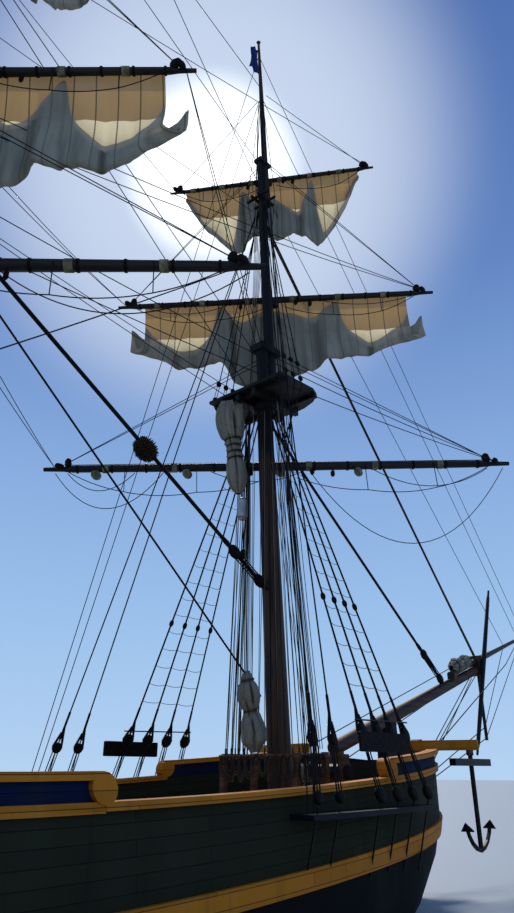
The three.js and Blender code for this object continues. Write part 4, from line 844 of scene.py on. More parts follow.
def chafing_mat(stay, share_along, length, thick, yarns):
    """A shaggy mat of short yarns that stand out all round a stay."""
    top, foot, _ = SERVED_STAYS[stay]
    middle = top.lerp(foot, share_along)
    way = (foot - top).normalized()
    across = way.cross(Vector((0, 0, 1))).normalized()
    over = across.cross(way)
    tufts = []
    for i in range(yarns):
        share = i / yarns
        angle = GOLDEN_ANGLE * i
        root = middle + way * length * (share - 0.5)
        reach = thick * (0.55 + 0.45 * math.sin(math.pi * share)) * (0.85 + 0.15 * math.sin(i * 5.1))
        out = across * math.cos(angle) + over * math.sin(angle)
        bend = way * (share - 0.5) * 0.25 * length + Vector((0, 0, -0.25 * thick))
        tufts.append([root, root + out * reach * 0.6, root + out * reach + bend * 0.4])
    ropes(f"{stay}_chafing_mat", tufts, 0.008, brown_rope, around=0)


chafing_mat("mainstay", 0.572, 0.5, 0.27, 900)

# Square sails
# Flax canvas in cloths 0.45 m wide is sewn with double seams, doubled along its head and laced to the yards.
# Clewlines and buntlines have hauled them up, so the foot is folded up before the sail and hangs in swags.

CLOTH_WIDTH = 0.45
HEAD_DOUBLED = 0.38
BODY_DOUBLED = 1.12
SEAM_HALF = 0.014
SAIL_COLUMNS = 160
CLEW_OUT = 0.45
FALL_ROWS = 26
TURN_ROWS = 4
RISE_ROWS = 9
# Each sail: its yard, half its width, and the depths of its folds and of its foot, both by share from port
SAILS = {
    "fore_topsail": (
        "fore_topsail_yard", 3.95,
        ((0, 1.45), (0.06, 1.7), (0.14, 2.1), (0.2, 2.12), (0.275, 1.95), (0.37, 2.75), (0.6, 2.4),
         (0.71, 2.0), (0.82, 1.95), (0.93, 1.6), (1, 1.45)),
        ((0, 0.62), (0.03, 0.95), (0.08, 1.3), (0.17, 1.6), (0.24, 1.15), (0.262, 0.7), (0.285, 0.12),
         (0.32, 0.3), (0.37, 0.65), (0.45, 0.35), (0.55, 0.4), (0.63, 0.6), (0.7, 0.25), (0.735, 0.12),
         (0.757, 0.8), (0.8, 1.3), (0.855, 1.55), (0.93, 1.2), (0.98, 0.9), (1, 0.62)),
    ),
    "fore_topgallant_sail": (
        "fore_topgallant_yard", 2.85,
        ((0, 0.25), (0.04, 0.75), (0.1, 1.35), (0.2, 2.1), (0.29, 2.6), (0.4, 2.0), (0.51, 2.25),
         (0.63, 2.05), (0.744, 2.65), (0.855, 1.85), (0.94, 0.95), (1, 0.3)),
        ((0, 0.15), (0.1, 1.25), (0.2, 2.0), (0.27, 2.4), (0.29, 1.6), (0.33, 0.2), (0.42, 0.75),
         (0.5, 0.6), (0.58, 0.95), (0.64, 1.2), (0.69, 0.7), (0.735, 0.12), (0.755, 1.4), (0.775, 2.35),
         (0.85, 1.75), (0.94, 0.85), (1, 0.15)),
    ),
    "main_topsail": (
        "main_topsail_yard", 3.85,
        ((0, 1.5), (0.04, 1.9), (0.09, 2.2), (0.17, 2.3), (0.25, 2.2), (0.33, 2.35), (0.42, 2.75),
         (0.5, 2.45), (0.6, 2.8), (0.68, 2.3), (0.76, 2.35), (0.84, 2.4), (0.9, 2.2), (0.95, 1.8),
         (1, 1.5)),
        ((0, 0.7), (0.03, 1.0), (0.08, 1.45), (0.15, 1.8), (0.21, 1.4), (0.235, 0.8), (0.26, 0.12),
         (0.32, 0.6), (0.4, 1.1), (0.5, 0.5), (0.6, 1.2), (0.68, 0.6), (0.735, 0.12), (0.755, 0.9),
         (0.8, 1.5), (0.86, 1.8), (0.93, 1.5), (0.98, 1.05), (1, 0.7)),
    ),
    "main_topgallant_sail": (
        "main_topgallant_yard", 2.85,
        ((0, 0.3), (0.06, 1.1), (0.14, 2.0), (0.22, 2.65), (0.36, 2.05), (0.5, 1.6), (0.64, 2.05),
         (0.8, 2.7), (0.93, 1.4), (1, 0.35)),
        ((0, 0.2), (0.1, 1.3), (0.2, 2.4), (0.23, 1.6), (0.27, 0.3), (0.36, 0.9), (0.5, 0.5), (0.64, 0.9),
         (0.74, 0.3), (0.77, 1.8), (0.79, 2.4), (0.9, 1.4), (1, 0.2)),
    ),
}


def on_yard(name, ahead, along, rise=0.0):
    """A point on or near a yard, by its distance ahead of the yard, to port along it and above it."""
    yard = YARDS[name]
    turn = math.radians(yard.brace)
    return on_mast(
        yard.mast, yard.ahead + ahead * math.cos(turn) - along * math.sin(turn),
        ahead * math.sin(turn) + along * math.cos(turn), yard.height + rise)


def at_share(rows, share):
    """Fair value at a share in a table of (share, value) rows, level where the rows turn back."""
    last = len(rows) - 2
    i = next((k for k in range(last + 1) if share <= rows[k + 1][0]), last)

    def slope(k):
        if k in (0, last + 1):
            return 0.0
        before, after = (
            (rows[j + 1][1] - rows[j][1]) / (rows[j + 1][0] - rows[j][0]) for j in (k - 1, k))
        return 0.0 if before * after <= 0 else 2 * before * after / (before + after)

    span = rows[i + 1][0] - rows[i][0]
    t = (share - rows[i][0]) / span
    return ((2 * t ** 3 - 3 * t * t + 1) * rows[i][1] + (t ** 3 - 2 * t * t + t) * span * slope(i)
            + (3 * t * t - 2 * t ** 3) * rows[i + 1][1] + (t ** 3 - t * t) * span * slope(i + 1))


def canvas_look(name):
    """Flax canvas: one layer glows against the light, and where it is folded it is dull and grey.

    The piece's own attribute "folded" says how far a point lies behind its folds. Past a half, it says how
    much painted shade its creases and pinches get. Its UV is laid in metres.
    """
    material, tree, shader, place = start_material(name, 0.9, shine=0.1)
    uv = add_node(tree, "ShaderNodeTexCoord").outputs["UV"]
    axes = add_node(tree, "ShaderNodeSeparateXYZ", {0: uv})
    behind = add_node(tree, "ShaderNodeAttribute", attribute_name="folded").outputs["Fac"]
    doubled = add_node(
        tree, "ShaderNodeMapRange", {"Value": behind, "From Min": -0.012, "From Max": 0.012}).outputs[0]
    # Painted shade: past a half, the attribute darkens the canvas in its creases, along its pleats and under
    # gasket turns
    crease_shade = add_node(
        tree, "ShaderNodeMapRange", {"Value": behind, "From Min": 0.55, "From Max": 1.5}).outputs[0]
    off_seam = add_node(
        tree, "ShaderNodeMath", {0: axes.outputs["X"], 1: CLOTH_WIDTH / 2}, operation="PINGPONG").outputs[0]
    seam, head, body = (
        add_node(tree, "ShaderNodeMath", {0: value, 1: limit}, operation="LESS_THAN").outputs[0]
        for value, limit in (
            (off_seam, SEAM_HALF), (axes.outputs["Y"], HEAD_DOUBLED), (axes.outputs["Y"], BODY_DOUBLED)))
    stain = patches(tree, place, 1.1, 6, 0.35, 0.7, (1, 1, 0.5))
    streak = patches(tree, place, 7.0, 5, 0.4, 0.75, (1, 1, 0.12))
    colour = linear("#aaa28e")
    # The dark tone laid by the crease mask is painted shade. The stains, streaks and seams are the cloth's
    # own
    for mask, strength, tone in (
        (stain, 0.7, "#878070"), (streak, 0.35, "#6d6250"), (seam, 0.45, "#5f5645"),
        (crease_shade, 0.85, "#2e2b26"),
    ):
        colour = lay_over(tree, colour, mask, strength, tone)
    through = linear("#fff0c4")
    for mask, strength, tone in (
        (body, 1, "#9b7c4c"), (head, 1, "#7c6544"), (stain, 0.3, "#8c6c40"), (seam, 0.8, "#241a10"),
    ):
        through = lay_over(tree, through, mask, strength, tone)
    tree.links.new(colour, shader.inputs["Base Color"])
    # The real threads are under 1 mm thick, too fine to show, so the weave is drawn about 17 mm coarse
    weave = patches(tree, place, 60.0, 2, 0.3, 0.7)
    relief(tree, shader, ((weave, 0.1), (seam, 1)), 0.4, 0.004)
    glowing = add_node(tree, "ShaderNodeBsdfTranslucent", {"Color": through})
    share = add_node(
        tree, "ShaderNodeMapRange", {"Value": doubled, "To Min": 0.6, "To Max": 0.07}).outputs[0]
    both = add_node(tree, "ShaderNodeMixShader", {0: share, 1: shader.outputs[0], 2: glowing.outputs[0]})
    tree.links.new(both.outputs[0], tree.nodes["Material Output"].inputs["Surface"])
    return material


def folded_row(row, depth, lift):
    """Where a row of a sail in its gear lies: how far down, how far before the first layer, how far down as a
    share of its depth, and how much of the clews' spread it takes."""
    if row <= FALL_ROWS:
        fall = row / FALL_ROWS
        return fall * depth, 0.0, fall, 0.0
    row -= FALL_ROWS
    if row <= TURN_ROWS:
        turn = row / TURN_ROWS * math.pi
        carried = (1 - math.cos(turn)) / 2
        return depth + 0.08 * math.sin(turn), 0.08 * (1 - math.cos(turn)), 1.0, carried
    row -= TURN_ROWS
    if row <= RISE_ROWS:
        rise = row / RISE_ROWS
        down = depth + (lift - depth) * rise
        return down, 0.16 + 0.05 * math.sin(math.pi * rise), down / depth, 1.0
    row -= RISE_ROWS
    if row <= TURN_ROWS:
        turn = row / TURN_ROWS * math.pi
        down = lift - 0.04 * math.sin(turn)
        return down, 0.16 + 0.04 * (1 - math.cos(turn)), max(down, 0) / depth, 1.0
    rise = (row - TURN_ROWS) / RISE_ROWS
    down = lift + (depth * 0.86 - lift) * rise
    return down, 0.24 + 0.08 * math.sin(math.pi * rise), down / depth, 1.0 - 0.4 * rise


def finish_sheet(piece, uv, folded, material, body, node):
    """Gives a sheet its UV in metres, its folds and painted crease shade, its canvas and its place, and
    returns its area.
    """
    mesh = piece.data
    layer = mesh.uv_layers.active.data
    for loop in mesh.loops:
        layer[loop.index].uv = uv[loop.vertex_index]
    mesh.attributes.new("folded", "FLOAT", "POINT").data.foreach_set("value", folded)
    bpy.ops.object.shade_smooth()
    mesh.materials.clear()
    mesh.materials.append(material)
    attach(piece, body)
    if node:
        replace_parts(piece, node)
    return sum(face.area for face in mesh.polygons)


def hung_sail(name, material):
    """A sail in its gear as one sheet: down abaft, round the bottom of its folds, up before them and over."""
    yard, half, drop, foot = SAILS[name]
    radius = YARDS[yard].radius
    rows = FALL_ROWS + 2 * TURN_ROWS + 2 * RISE_ROWS
    bpy.ops.mesh.primitive_grid_add(x_subdivisions=SAIL_COLUMNS, y_subdivisions=rows, size=2)
    sail = bpy.context.object
    sail.name = f"{name}_cloth"
    vertices = sail.data.vertices
    flat = []
    behind = []
    for vertex in vertices:
        share = (1 - vertex.co.x) / 2
        row = round((1 - vertex.co.y) / 2 * rows)
        depth = at_share(drop, share)
        lift = min(at_share(foot, share), depth - 0.12)
        pleat = math.sin(share * 61) + 0.6 * math.sin(share * 97 + 1.3) + 0.35 * math.sin(share * 173)
        # Painted shade along the pleats, laid on the canvas behind its folds and in them
        crease_shade = max(0, pleat - 0.5) * 0.6
        pleat *= 0.008 + 0.03 * (1 - lift / depth)
        sag = 0.05 * math.sin(share * 23) + 0.02 * math.sin(share * 71)
        down, layer, fall, carried = folded_row(row, depth, lift)
        hidden = min(1.0 if row > FALL_ROWS else down - lift, 0.5)
        behind.append(0.5 + crease_shade if hidden > 0.15 else hidden)
        belly = 0.16 * math.sin(math.pi * min(fall * 1.05, 1)) + pleat * fall * 2.2 + sag * fall
        ahead = radius + 0.025 + belly + layer * min(1, 0.35 + depth / 2)
        corner = max(0, 1 - min(share, 1 - share) / 0.08)
        spread = CLEW_OUT * corner ** 0.7 * carried * (1 if share < 0.5 else -1) * (half > 3)
        gathered = (1 - min(lift / depth, 1)) * fall
        along = half * (1 - 2 * share) + spread + 0.04 * math.sin(share * 41 + down * 2.4) * gathered
        place = on_yard(yard, ahead, along, radius * 0.75 - down)
        flat.append((share * 2 * half, row))
        vertex.co = place
    length = {}
    above = {}
    for i in sorted(range(len(vertices)), key=lambda i: flat[i][1]):
        column = round(flat[i][0], 4)
        last = above.get(column)
        length[i] = 0.0 if last is None else length[last] + (vertices[i].co - vertices[last].co).length
        above[column] = i
    uv = [(across, length[i]) for i, (across, _) in enumerate(flat)]
    area = finish_sheet(sail, uv, behind, material, YARDS[yard].body, name)


sailcloth = canvas_look("seamed_flax_canvas")
for sail_name in SAILS:
    hung_sail(sail_name, sailcloth)

# Yard gear
# Each yard has a jackstay along its top, footropes on stirrups below it, gaskets and leather bands round it.
# Lifts hold it up from the mast, and blocks hang at its arms and quarters.

# Lines left slack below a yard: the shares of its half length where each starts and ends, and its sag
SLACK_LOOPS = {
    "fore_yard": (
        (-0.12, -0.97, 2.1), (-0.4, -0.9, 0.5), (0.95, 0.5, 1.0), (0.9, 0.62, 0.5), (0.3, -0.1, 0.3)),
    "fore_topsail_yard": ((0.8, 0.3, 0.25), (-0.3, -0.85, 0.2)),
    "main_yard": ((-0.2, -0.95, 0.9), (0.9, 0.4, 0.7)),
}
# Where each yard's lifts start on its mast: how far ahead of the lower mast, and how high
LIFTS_FROM = {
    "fore_yard": (0.3, 13.5),
    "fore_topsail_yard": (0.42, 20.65),
    "fore_topgallant_yard": (0.6, 23.8),
    "main_yard": (0.3, 14.15),
    "main_topsail_yard": (0.42, 20.85),
    "main_topgallant_yard": (0.6, 24.4),
}


def along_yard(yard):
    """The direction of a yard towards its port arm."""
    return (on_yard(yard, 0, 1) - on_yard(yard, 0, 0)).normalized()


def yard_gear(yard):
    """What rides with one yard, and the lifts that hold it up."""
    mast, _, _, half, radius, _, body = YARDS[yard]
    big = half / YARDS["fore_yard"].half
    lines, bands, blocks, pads = [], [], [], []
    lines.append([on_yard(yard, 0.03, half * 0.9 * (1 - t / 10), radius * 0.8 + 0.03) for t in range(21)])
    drop = 0.72 * (0.7 + 0.3 * big)
    footrope = ((0.93, 0.0), (0.66, drop), (0.36, drop * 1.06), (0.06, drop * 0.55))
    for way in SIDES.values():
        held = [on_yard(yard, -radius - 0.06, way * half * share, -fall) for share, fall in footrope]
        run = []
        for start, end in zip(held, held[1:]):
            run += hang(start, end, 0.1 * big, 8)[:-1]
        lines.append(run + [held[-1]])
        for (share, _), stirrup_end in zip(footrope[1:3], held[1:3]):
            lines.append([on_yard(yard, -radius * 0.9, way * half * share, 0.02), stirrup_end])
        blocks += [
            (on_yard(yard, -0.02, way * half * 0.9, radius * 0.5 + 0.1), (0, 0.3, 1), (0.08, 0.12, 0.16)),
            (on_yard(yard, -radius - 0.05, way * half * 0.93, 0.02), (1, 0, 0.2), (0.065, 0.1, 0.14)),
            (on_yard(yard, -0.02, way * half * 0.22, -radius - 0.1), UPRIGHT, (0.05, 0.07, 0.1)),
            (on_yard(yard, -radius, way * half * 0.13, -radius - 0.08), UPRIGHT, (0.05, 0.07, 0.1)),
        ]
    for i in range(13):
        along = half * 0.86 * (1 - i / 6)
        if abs(along) < 0.4:
            continue
        thick = radius * (1.03 - 0.2 * abs(along) / half)
        bands.append((on_yard(yard, 0, along), along_yard(yard), (thick + 0.012, thick + 0.012, 0.05)))
        if i % 2:
            pads.append((
                on_yard(yard, 0, along + 0.16), along_yard(yard), (thick + 0.01, thick + 0.01, 0.16)))
    for from_share, to_share, sag in SLACK_LOOPS.get(yard, ()):
        start = on_yard(yard, 0, half * from_share, -radius)
        end = on_yard(yard, 0, half * to_share, -radius)
        lines.append(hang(start, end, sag, 24))
    ropes(f"{yard}_ropes", lines, 0.011, tarred_rope, body)
    copies(f"{yard}_bands", unit_bar, bands, black_wood, body)
    copies(f"{yard}_pads", unit_bar, pads, weathered_canvas, body)
    copies(f"{yard}_blocks", block, blocks, black_wood, body)
    ahead, head = LIFTS_FROM[yard]
    lifts = []
    for way in SIDES.values():
        start = on_mast(mast, ahead, way * 0.2, head)
        end = on_yard(yard, 0, way * half * 0.93, radius * 0.6)
        starts = [start, start + Vector((0, 0, -0.15))] if half > 4 else [start]
        lifts += [[start.lerp(end, t / 10) for t in range(11)] for start in starts]
    piece = ropes(f"{yard}_lifts", lifts, 0.01, tarred_rope, None)
    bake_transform(piece)


# Old canvas and leather, painted over with tar and slush: drab, dry and blotched
weathered_canvas = mottled("weathered_canvas_and_leather", ("#5c5a44", "#8f8467"), 8.0, 5, 0.9)
for yard_name in YARDS:
    yard_gear(yard_name)
copies("fore_yard_gasket_coils", ball, [
    (on_yard("fore_yard", -0.06, YARDS["fore_yard"].half * share, -0.2), (0.2, 0, 1), (0.11, 0.16, 0.13))
    for share in (0.78, 0.4, -0.33)
], weathered_canvas, "fore_course_yard")

# Braces
# Tarred hemp braces haul the yards round from their arms, and lead to the other mast or to the stern.
# Each one hangs slack from its yard's arm to its lead.

STERN_LEAD_X = -9.3
# Each yard's braces: their place as a share of its half length, the mast they lead to, if any, and how far
# ahead of it. Then each lead: its distance from the middle, its height, and the slack to port and starboard.
BRACES = {
    "fore_yard": (0.95, "main", 0.3, ((0.5, 12.0, 0.15, 0.35), (0.35, 11.2, 0.1, 0.3))),
    "fore_topsail_yard": (0.95, "main", 0.6, ((0.3, 14.3, 0.15, 0.2), (0.2, 13.9, 0.12, 0.2))),
    "fore_topgallant_yard": (0.94, "main", 0.5, ((0.2, 19.3, 0.1, 0.1),)),
    "main_yard": (0.95, None, 0, ((2.1, 3.2, 0.15, 0.15),)),
    "main_topsail_yard": (0.95, "fore", -0.2, ((0.5, 12.1, 0.1, 0.1), (0.4, 11.7, 0.12, 0.12))),
    "main_topgallant_yard": (0.94, "fore", 0.2, ((0.3, 18.8, 0.1, 0.1),)),
}
number = 0
for yard_name, (share, mast, ahead, leads) in BRACES.items():
    for side_name, way in SIDES.items():
        for out, height, port_slack, starboard_slack in leads:
            lead = Vector((STERN_LEAD_X, way * out, height))
            if mast:
                lead = on_mast(mast, ahead, way * out, height)
            arm = on_yard(yard_name, -0.1, way * YARDS[yard_name].half * share)
            run = hang(lead, arm, port_slack if way > 0 else starboard_slack, 24)
            line = ropes(f"{yard_name}_brace_{side_name}_{number}", [run], 0.01, tarred_rope, None)
            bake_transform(line)
            number += 1

# Falls, halyards and their pin rails
# Manila running rigging comes down beside each mast from blocks in the tops to oak pin rails round its foot.
# Every line is belayed to a turned pin, and its end hangs there in a coil.

PIN_RAIL_Z = {"fore": 3.05, "main": 2.95}
PIN_SIDE = 1.02
# The main mast has no pins abaft it, where the spanker boom swings
PIN_PLACES = {
    "fore": [(-0.75, -0.95 + 0.19 * i) for i in range(11)]
    + [(-0.62 + 0.14 * i, way * PIN_SIDE) for way in SIDES.values() for i in range(6)],
    "main": [(-0.36 + 0.075 * i, way * PIN_SIDE) for way in SIDES.values() for i in range(10)],
}


# Oiled oak: warm brown with a low sheen, dark in the grain
fitting_oak = weathered_spar("oiled_oak_fittings", "#6a4427", "#38240f", 0.5, along="XY")


def falls(mast):
    """The lines that lead down along one lower mast, dark and weathered, and what they are made fast to."""
    dark, pale, coils, pins = [], [], [], []
    rail_z = PIN_RAIL_Z[mast]
    for i, (ahead, side) in enumerate(PIN_PLACES[mast]):
        pin = on_mast(mast, ahead, side, rail_z)
        pins.append((pin, UPRIGHT, (0.018, 0.018, 0.34)))
        out, across = Vector((0, math.copysign(0.06, side), 0)), Vector((1, 0, 0))
        if ahead < -0.7:
            out, across = Vector((-0.06, 0, 0)), Vector((0, 1, 0))
        for turn in range(3 if i % 4 else 2):
            wide = 0.075 + 0.014 * turn + 0.015 * math.sin(i * 2.3 + turn)
            deep = 0.19 + 0.03 * turn + 0.07 * math.sin(i * 3.1)
            middle = pin + out * (1 + 0.3 * turn)
            coils.append([
                middle + across * wide * math.cos(a) + Vector((0, 0, deep * (math.sin(a) - 0.9)))
                for a in (math.tau * k / 12 for k in range(13))
            ])
        for lead in range(2):
            height = HOUNDS[mast] - (0.15 * (i % 3) if (i + lead) % 3 else 1.7)
            near = 0.42 + 0.13 * ((i * 5 + lead * 3) % 4) / 3
            top = on_mast(mast, ahead * near * 0.7, side * near + (0.1 if side > 0 else -0.1), height)
            run = hang(top, pin + Vector((0.03 * lead, 0.02 * lead, 0.1)), 0.02 + 0.03 * abs(math.sin(i)), 8)
            (dark if (i + 2 * lead) % 4 else pale).append(run)
    for i in range(14):
        way = 1 if i % 2 else -1
        top = on_mast(mast, TOPMAST_AHEAD - 0.2 + 0.04 * i, way * 0.13, TOPMAST_HOUNDS[mast] - 0.3)
        low = on_mast(mast, -0.35 + 0.04 * i, way * (0.2 + 0.035 * i), TOP_Z[mast] + 0.3)
        (pale if i % 4 == 1 else dark).append([top, low])
        pin = on_mast(mast, -0.3 + 0.045 * i, way * PIN_SIDE, rail_z + 0.1)
        dark.append([low, pin])
    for i in range(6):
        way = 1 if i % 2 else -1
        dark.append([on_mast(mast, TOPGALLANT_AHEAD - 0.1, way * 0.06, TOPGALLANT_HOUNDS[mast] - 0.3),
                     on_mast(mast, TOPMAST_AHEAD - 0.18, way * (0.12 + 0.03 * i), CROSSTREES_Z[mast] - 2.0)])
    ropes(f"{mast}_falls", dark, 0.0085, tarred_rope)
    ropes(f"{mast}_weathered_falls", pale, 0.0085, grey_rope)
    ropes(f"{mast}_coils", coils, 0.011, brown_rope)
    copies(f"{mast}_belaying_pins", unit_bar, pins, pole_wood)
    aft, fore = (-0.75, 0.3) if mast == "fore" else (-0.42, 0.42)
    beams, posts = [], []
    if mast == "fore":
        beams.append((on_mast(mast, aft, 0, rail_z), UPRIGHT, (0.13, 2 * PIN_SIDE + 0.16, 0.08)))
    for way in SIDES.values():
        middle = on_mast(mast, (aft + fore) / 2, way * PIN_SIDE, rail_z)
        beams.append((middle, UPRIGHT, (fore - aft, 0.12, 0.08)))
        for ahead in (aft, fore):
            posts.append((on_mast(mast, ahead, way * PIN_SIDE, rail_z - 0.44), UPRIGHT, (0.13, 0.13, 0.95)))
    copies(f"{mast}_pin_rails", box_template, beams + posts, fitting_oak)


for mast in MAST_AT:
    falls(mast)

# Furled sails
# The staysails, headsail and spanker are flax canvas, rolled and gathered up along their stays and boom.
# Each is one rolled sheet with loose pleats, pulled in where turns of gasket rope tie it.

# The boom's two ends, by x and z
GOOSENECK = (-4.55, 3.977)
BOOM_END = (-12.1, 4.56)
OVER_BOOM = 0.238


def furled(name, start, end, girth, ridges, turns, ties, node=None, body="ship"):
    """A sail rolled up between two points. Tables of (share, metres) give its radius and pleats."""
    way = (end - start).normalized()
    across = way.cross(Vector((0, 1, 0)) if abs(way.z) > 0.8 else Vector((0, 0, 1))).normalized()
    over = across.cross(way)
    length = (end - start).length
    bpy.ops.mesh.primitive_grid_add(
        x_subdivisions=round(72 * turns), y_subdivisions=min(90, round(length / 0.04)), size=2)
    roll = bpy.context.object
    roll.name = f"{name}_cloth"
    flat_uv, crease_shades = [], []
    for vertex in roll.data.vertices:
        turn = (vertex.co.x + 1) / 2 * turns * math.tau
        share = (vertex.co.y + 1) / 2
        pinch = min(sum(math.exp(-((share - tie) * length / 0.05) ** 2) for tie in ties), 1)
        drift = 1.1 * math.sin(share * 6)
        pleats = (1.3 * abs(math.sin(3.5 * turn + drift)) + 0.7 * abs(math.sin(5.5 * turn - drift * 0.7))
                  + 0.25 * math.sin(17 * turn - share * 9) - 1.1)
        pleats *= 1 + 0.4 * math.sin(3 * turn + share * 5)
        # Painted shade: a little over the whole roll, more in the grooves between pleats and where gaskets
        # pinch it
        crease_shades.append(0.78 + 0.8 * max(0, -pleats) + 0.5 * pinch)
        radius = at_share(girth, share)
        flat_uv.append((turn * radius, share * length))
        radius *= (0.85 + 0.15 * turn / (turns * math.tau)) * (1 - 0.15 * pinch)
        radius += at_share(ridges, share) * pleats * (1 - 0.75 * pinch)
        vertex.co = start.lerp(end, share) + across * radius * math.cos(turn) + over * radius * math.sin(turn)
    area = finish_sheet(roll, flat_uv, crease_shades, sailcloth, body, node)
    rings = []
    for tie in ties:
        radius = at_share(girth, tie) * 0.86 + 0.012
        for turn in range(2):
            middle = start.lerp(end, tie) + way * 0.022 * (turn - 0.5)
            rings.append([
                middle + across * radius * math.cos(a) + over * radius * math.sin(a)
                + way * 0.02 * math.sin(a)
                for a in (math.tau * k / 16 for k in range(17))])
    ropes(f"{name}_gaskets", rings, 0.009, brown_rope, body)


def over_boom(x):
    """A point above the boom, where the spanker lies on it."""
    (heel_x, heel_z), (end_x, end_z) = GOOSENECK, BOOM_END
    slope = (end_z - heel_z) / (end_x - heel_x)
    return Vector((x, 0, heel_z + (x - heel_x) * slope + OVER_BOOM))


furled("spanker", over_boom(-4.9), over_boom(-11.0),
       ((0, 0.1), (0.04, 0.15), (0.12, 0.18), (0.2, 0.165), (0.28, 0.19), (0.37, 0.17), (0.46, 0.195),
        (0.55, 0.17), (0.64, 0.185), (0.73, 0.155), (0.82, 0.16), (0.9, 0.13), (0.97, 0.11), (1, 0.06)),
       ((0, 0.006), (1, 0.012)), 2.3, [0.04 + 0.115 * i for i in range(9)],
       "spanker_furled", "boom")
furled("staysail", on_mast("fore", -0.64, 0.7, 11.85), Vector((4.85, 0.6, 9.25)),
       ((0, 0.24), (0.06, 0.33), (0.2, 0.35), (0.36, 0.29), (0.5, 0.215), (0.66, 0.24), (0.82, 0.27),
        (0.94, 0.2), (1, 0.09)),
       ((0, 0.07), (0.2, 0.075), (0.4, 0.035), (0.55, 0.012), (0.8, 0.02), (1, 0.008)), 1.6,
       (0.42, 0.49, 0.56, 0.63), "staysail_bundle")
furled("headsail", jibboom_axis(15.05, 0.19), jibboom_axis(16.6, 0.17),
       ((0, 0.08), (0.1, 0.18), (0.3, 0.24), (0.5, 0.2), (0.7, 0.23), (0.9, 0.16), (1, 0.07)),
       ((0, 0.02), (0.3, 0.04), (0.7, 0.035), (1, 0.01)), 1.9, (0.18, 0.5, 0.82),
       "headsail_bundle")
furled("fore_foot_staysail", Vector((4.5, 0, 4.75)), Vector((4.82, 0, 3.1)),
       ((0, 0.06), (0.1, 0.15), (0.3, 0.24), (0.5, 0.17), (0.68, 0.25), (0.85, 0.27), (1, 0.12)),
       ((0, 0.02), (0.3, 0.04), (0.8, 0.035), (1, 0.01)), 1.8, (0.12, 0.5))

# Pennant
# A long wool pennant, dyed dark blue, hangs limp from its hoist below the fore truck in soft folds.
# It is one light sheet, made fast along its hoist and free on its other edges.

# Wool bunting: soft, matt and deep blue. Its real weave is under 1 mm, so it is drawn about 11 mm coarse
pennant_look, pennant_tree, pennant_shader, pennant_place = start_material("dark_blue_wool_bunting", 0.9)
pennant_weave = patches(pennant_tree, pennant_place, 90.0, 2, 0.3, 0.7)
pennant_tone = lay_over(
    pennant_tree, linear("#16306f"), patches(pennant_tree, pennant_place, 3.0, 4), 1, "#0c1c47")
pennant_tree.links.new(pennant_tone, pennant_shader.inputs["Base Color"])
relief(pennant_tree, pennant_shader, ((pennant_weave, 1),), 0.4, 0.002)
bpy.ops.mesh.primitive_grid_add(x_subdivisions=16, y_subdivisions=44, size=1)
pennant = bpy.context.object
pennant.name = "pennant_cloth"
hoist = on_mast("fore", TOPGALLANT_AHEAD, 0, TRUCK_Z["fore"] - 0.45)
for vertex in pennant.data.vertices:
    fly, fall = vertex.co.x + 0.5, 0.5 - vertex.co.y
    vertex.co = hoist + Vector((
        -0.05 - fly * (0.38 + 0.1 * fall) - 0.03 * math.sin(fall * 6),
        0.045 * math.sin(fly * 9 + fall * 4) * (0.3 + 0.7 * fly),
        -0.02 - fall * (1.3 - 0.1 * fly) - fly * 0.14 - 0.02 * math.sin(fly * 9 + fall * 4)))
bpy.ops.object.shade_smooth()
pennant.data.materials.clear()
pennant.data.materials.append(pennant_look)
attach(pennant, "ship")
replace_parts(pennant, "pennant")

# Radar reflector and light boards
# A white moulded reflector tube hangs on a halyard beside the fore mast, with a block below it.
# Black boards that shade the side lights are lashed across the fore shrouds, one a side.

REFLECTOR_X = 5.0
REFLECTOR_Y = 0.6
REFLECTOR_Z = 8.87
BOARD_X = 4.31
BOARD_Z = 3.2

# Moulded white plastic: smooth, a little glossy, greyed by weather
reflector_white = mottled("white_moulded_reflector", ("#c9c9cc", "#a9a9a6"), 4.0, 4, 0.45)
capsule = unit_cylinder("capsule", 20, 0.4)
reflector = (REFLECTOR_X, REFLECTOR_Y, REFLECTOR_Z)
copies("radar_reflector", capsule, [(reflector, UPRIGHT, (0.14, 0.14, 0.6))], reflector_white)
ropes("reflector_halyard", [
    [Vector((REFLECTOR_X, REFLECTOR_Y, 9.35)), Vector((REFLECTOR_X, REFLECTOR_Y, 9.12))],
    [Vector((REFLECTOR_X, REFLECTOR_Y, 8.62)), Vector((5.04, REFLECTOR_Y, 7.75))],
    [Vector((REFLECTOR_X, 0.57, 7.7)), on_mast("fore", -0.5, 0.95, 3.1)],
    [Vector((5.08, 0.63, 7.7)), on_mast("fore", -0.45, 1.0, 3.1)],
], 0.0085, tarred_rope)
copies("reflector_block", block, [((5.04, REFLECTOR_Y, 7.68), UPRIGHT, (0.07, 0.1, 0.13))], black_wood)
copies("light_boards", box_template, [
    ((BOARD_X, way * (channel_edge(BOARD_X) - 0.1), BOARD_Z), UPRIGHT, (1.66, 0.045, 0.33))
    for way in SIDES.values()
], black_wood)

# Deck fittings
# The hatch, companion, wheel box and bitts are oiled oak with darker trim, each joined and panelled.
# The hatch carries a lattice grating, the wheel has brass let into its rim, and the screw is cast bronze.

HATCH_MIDDLE_X = 1.5
GRATING_Z = 1.885
COMPANION_MIDDLE_X = -6.15
WHEEL_X = -8.298
WHEEL_Z = 2.85
WINDLASS_X = 7.1
WINDLASS_Z = 2.7
CABLE_COIL = 0.2

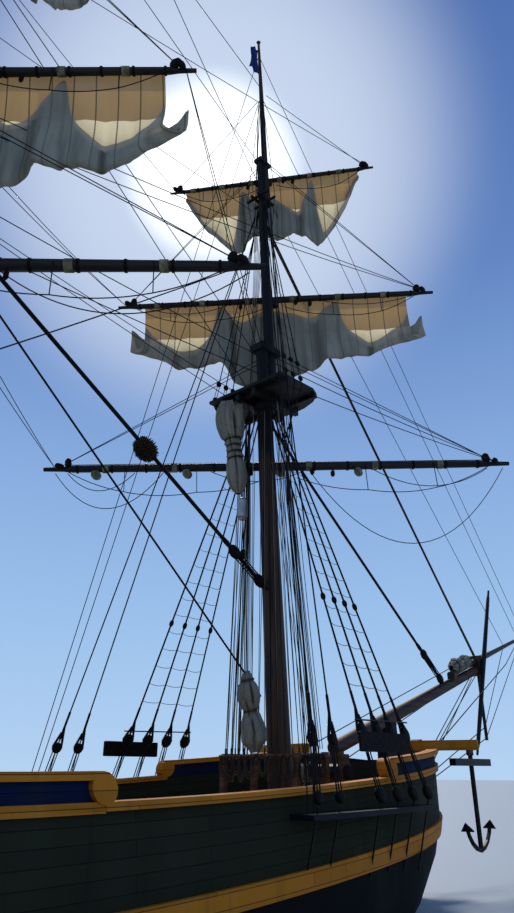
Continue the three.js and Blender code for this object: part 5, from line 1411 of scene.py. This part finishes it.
# Brass and bronze left unpolished: a brown-gold metal, blotched and half dull
brass = mottled("dull_brass", ("#9a7a35", "#5d4a24"), 9.0, 4, 0.35, 0.9, 0.5)
for node in ("main_hatch", "companion", "companion_hatch", "windlass_bitts", "wheel_box"):
    dress(node, fitting_oak)
dress("windlass_barrel", tarred_mast_wood)
dress("steering_wheel", fitting_oak)
dress("propeller", brass)
for side in SIDES:
    dress(f"channel_fore_{side}", bottom_paint)
    dress(f"channel_main_{side}", bottom_paint)
    dress(f"anchor_{side}", black_iron)
bars = [((0.86 + 0.107 * i, 0, GRATING_Z), UPRIGHT, (0.045, 1.36, 0.05)) for i in range(13)]
bars += [((HATCH_MIDDLE_X, -0.6 + 0.109 * i, GRATING_Z), UPRIGHT, (1.34, 0.045, 0.046)) for i in range(12)]
copies("hatch_grating", box_template, bars, fitting_oak)
trim = []
for way in SIDES.values():
    trim += [((x, way * 0.605, 2.42), UPRIGHT, (0.07, 0.03, 0.6)) for x in (-6.87, -6.16, -5.43)]
    trim += [
        ((COMPANION_MIDDLE_X, way * 0.606, height), UPRIGHT, (1.5, 0.03, 0.07)) for height in (2.14, 2.7)]
    trim += [
        ((x, way * 0.29, height), UPRIGHT, size) for x, height, size in (
            (-6.908, 2.42, (0.03, 0.5, 0.56)), (-6.925, 2.57, (0.02, 0.36, 0.16)),
            (-6.925, 2.3, (0.02, 0.36, 0.2)))]
copies("companion_trim", box_template, trim, pole_wood)
copies("wheel_box_trim", box_template, [
    ((-7.925, way * 0.338, height), UPRIGHT, (0.42, 0.02, 0.07))
    for way in SIDES.values() for height in (2.25, 3.0)
], pole_wood)
ropes("wheel_rim_brass", [
    [Vector((WHEEL_X, radius * math.cos(a), WHEEL_Z + radius * math.sin(a)))
     for a in (math.tau * k / 48 for k in range(49))]
    for radius in (0.52, 0.1)
], 0.009, brass, "wheel")
ropes("windlass_cable", [[
    Vector((
        WINDLASS_X + CABLE_COIL * math.cos(a), 0.15 + 0.045 * a / math.tau,
        WINDLASS_Z + CABLE_COIL * math.sin(a)))
    for a in (math.tau * k / 20 for k in range(101))
]], 0.025, grey_rope, "windlass")
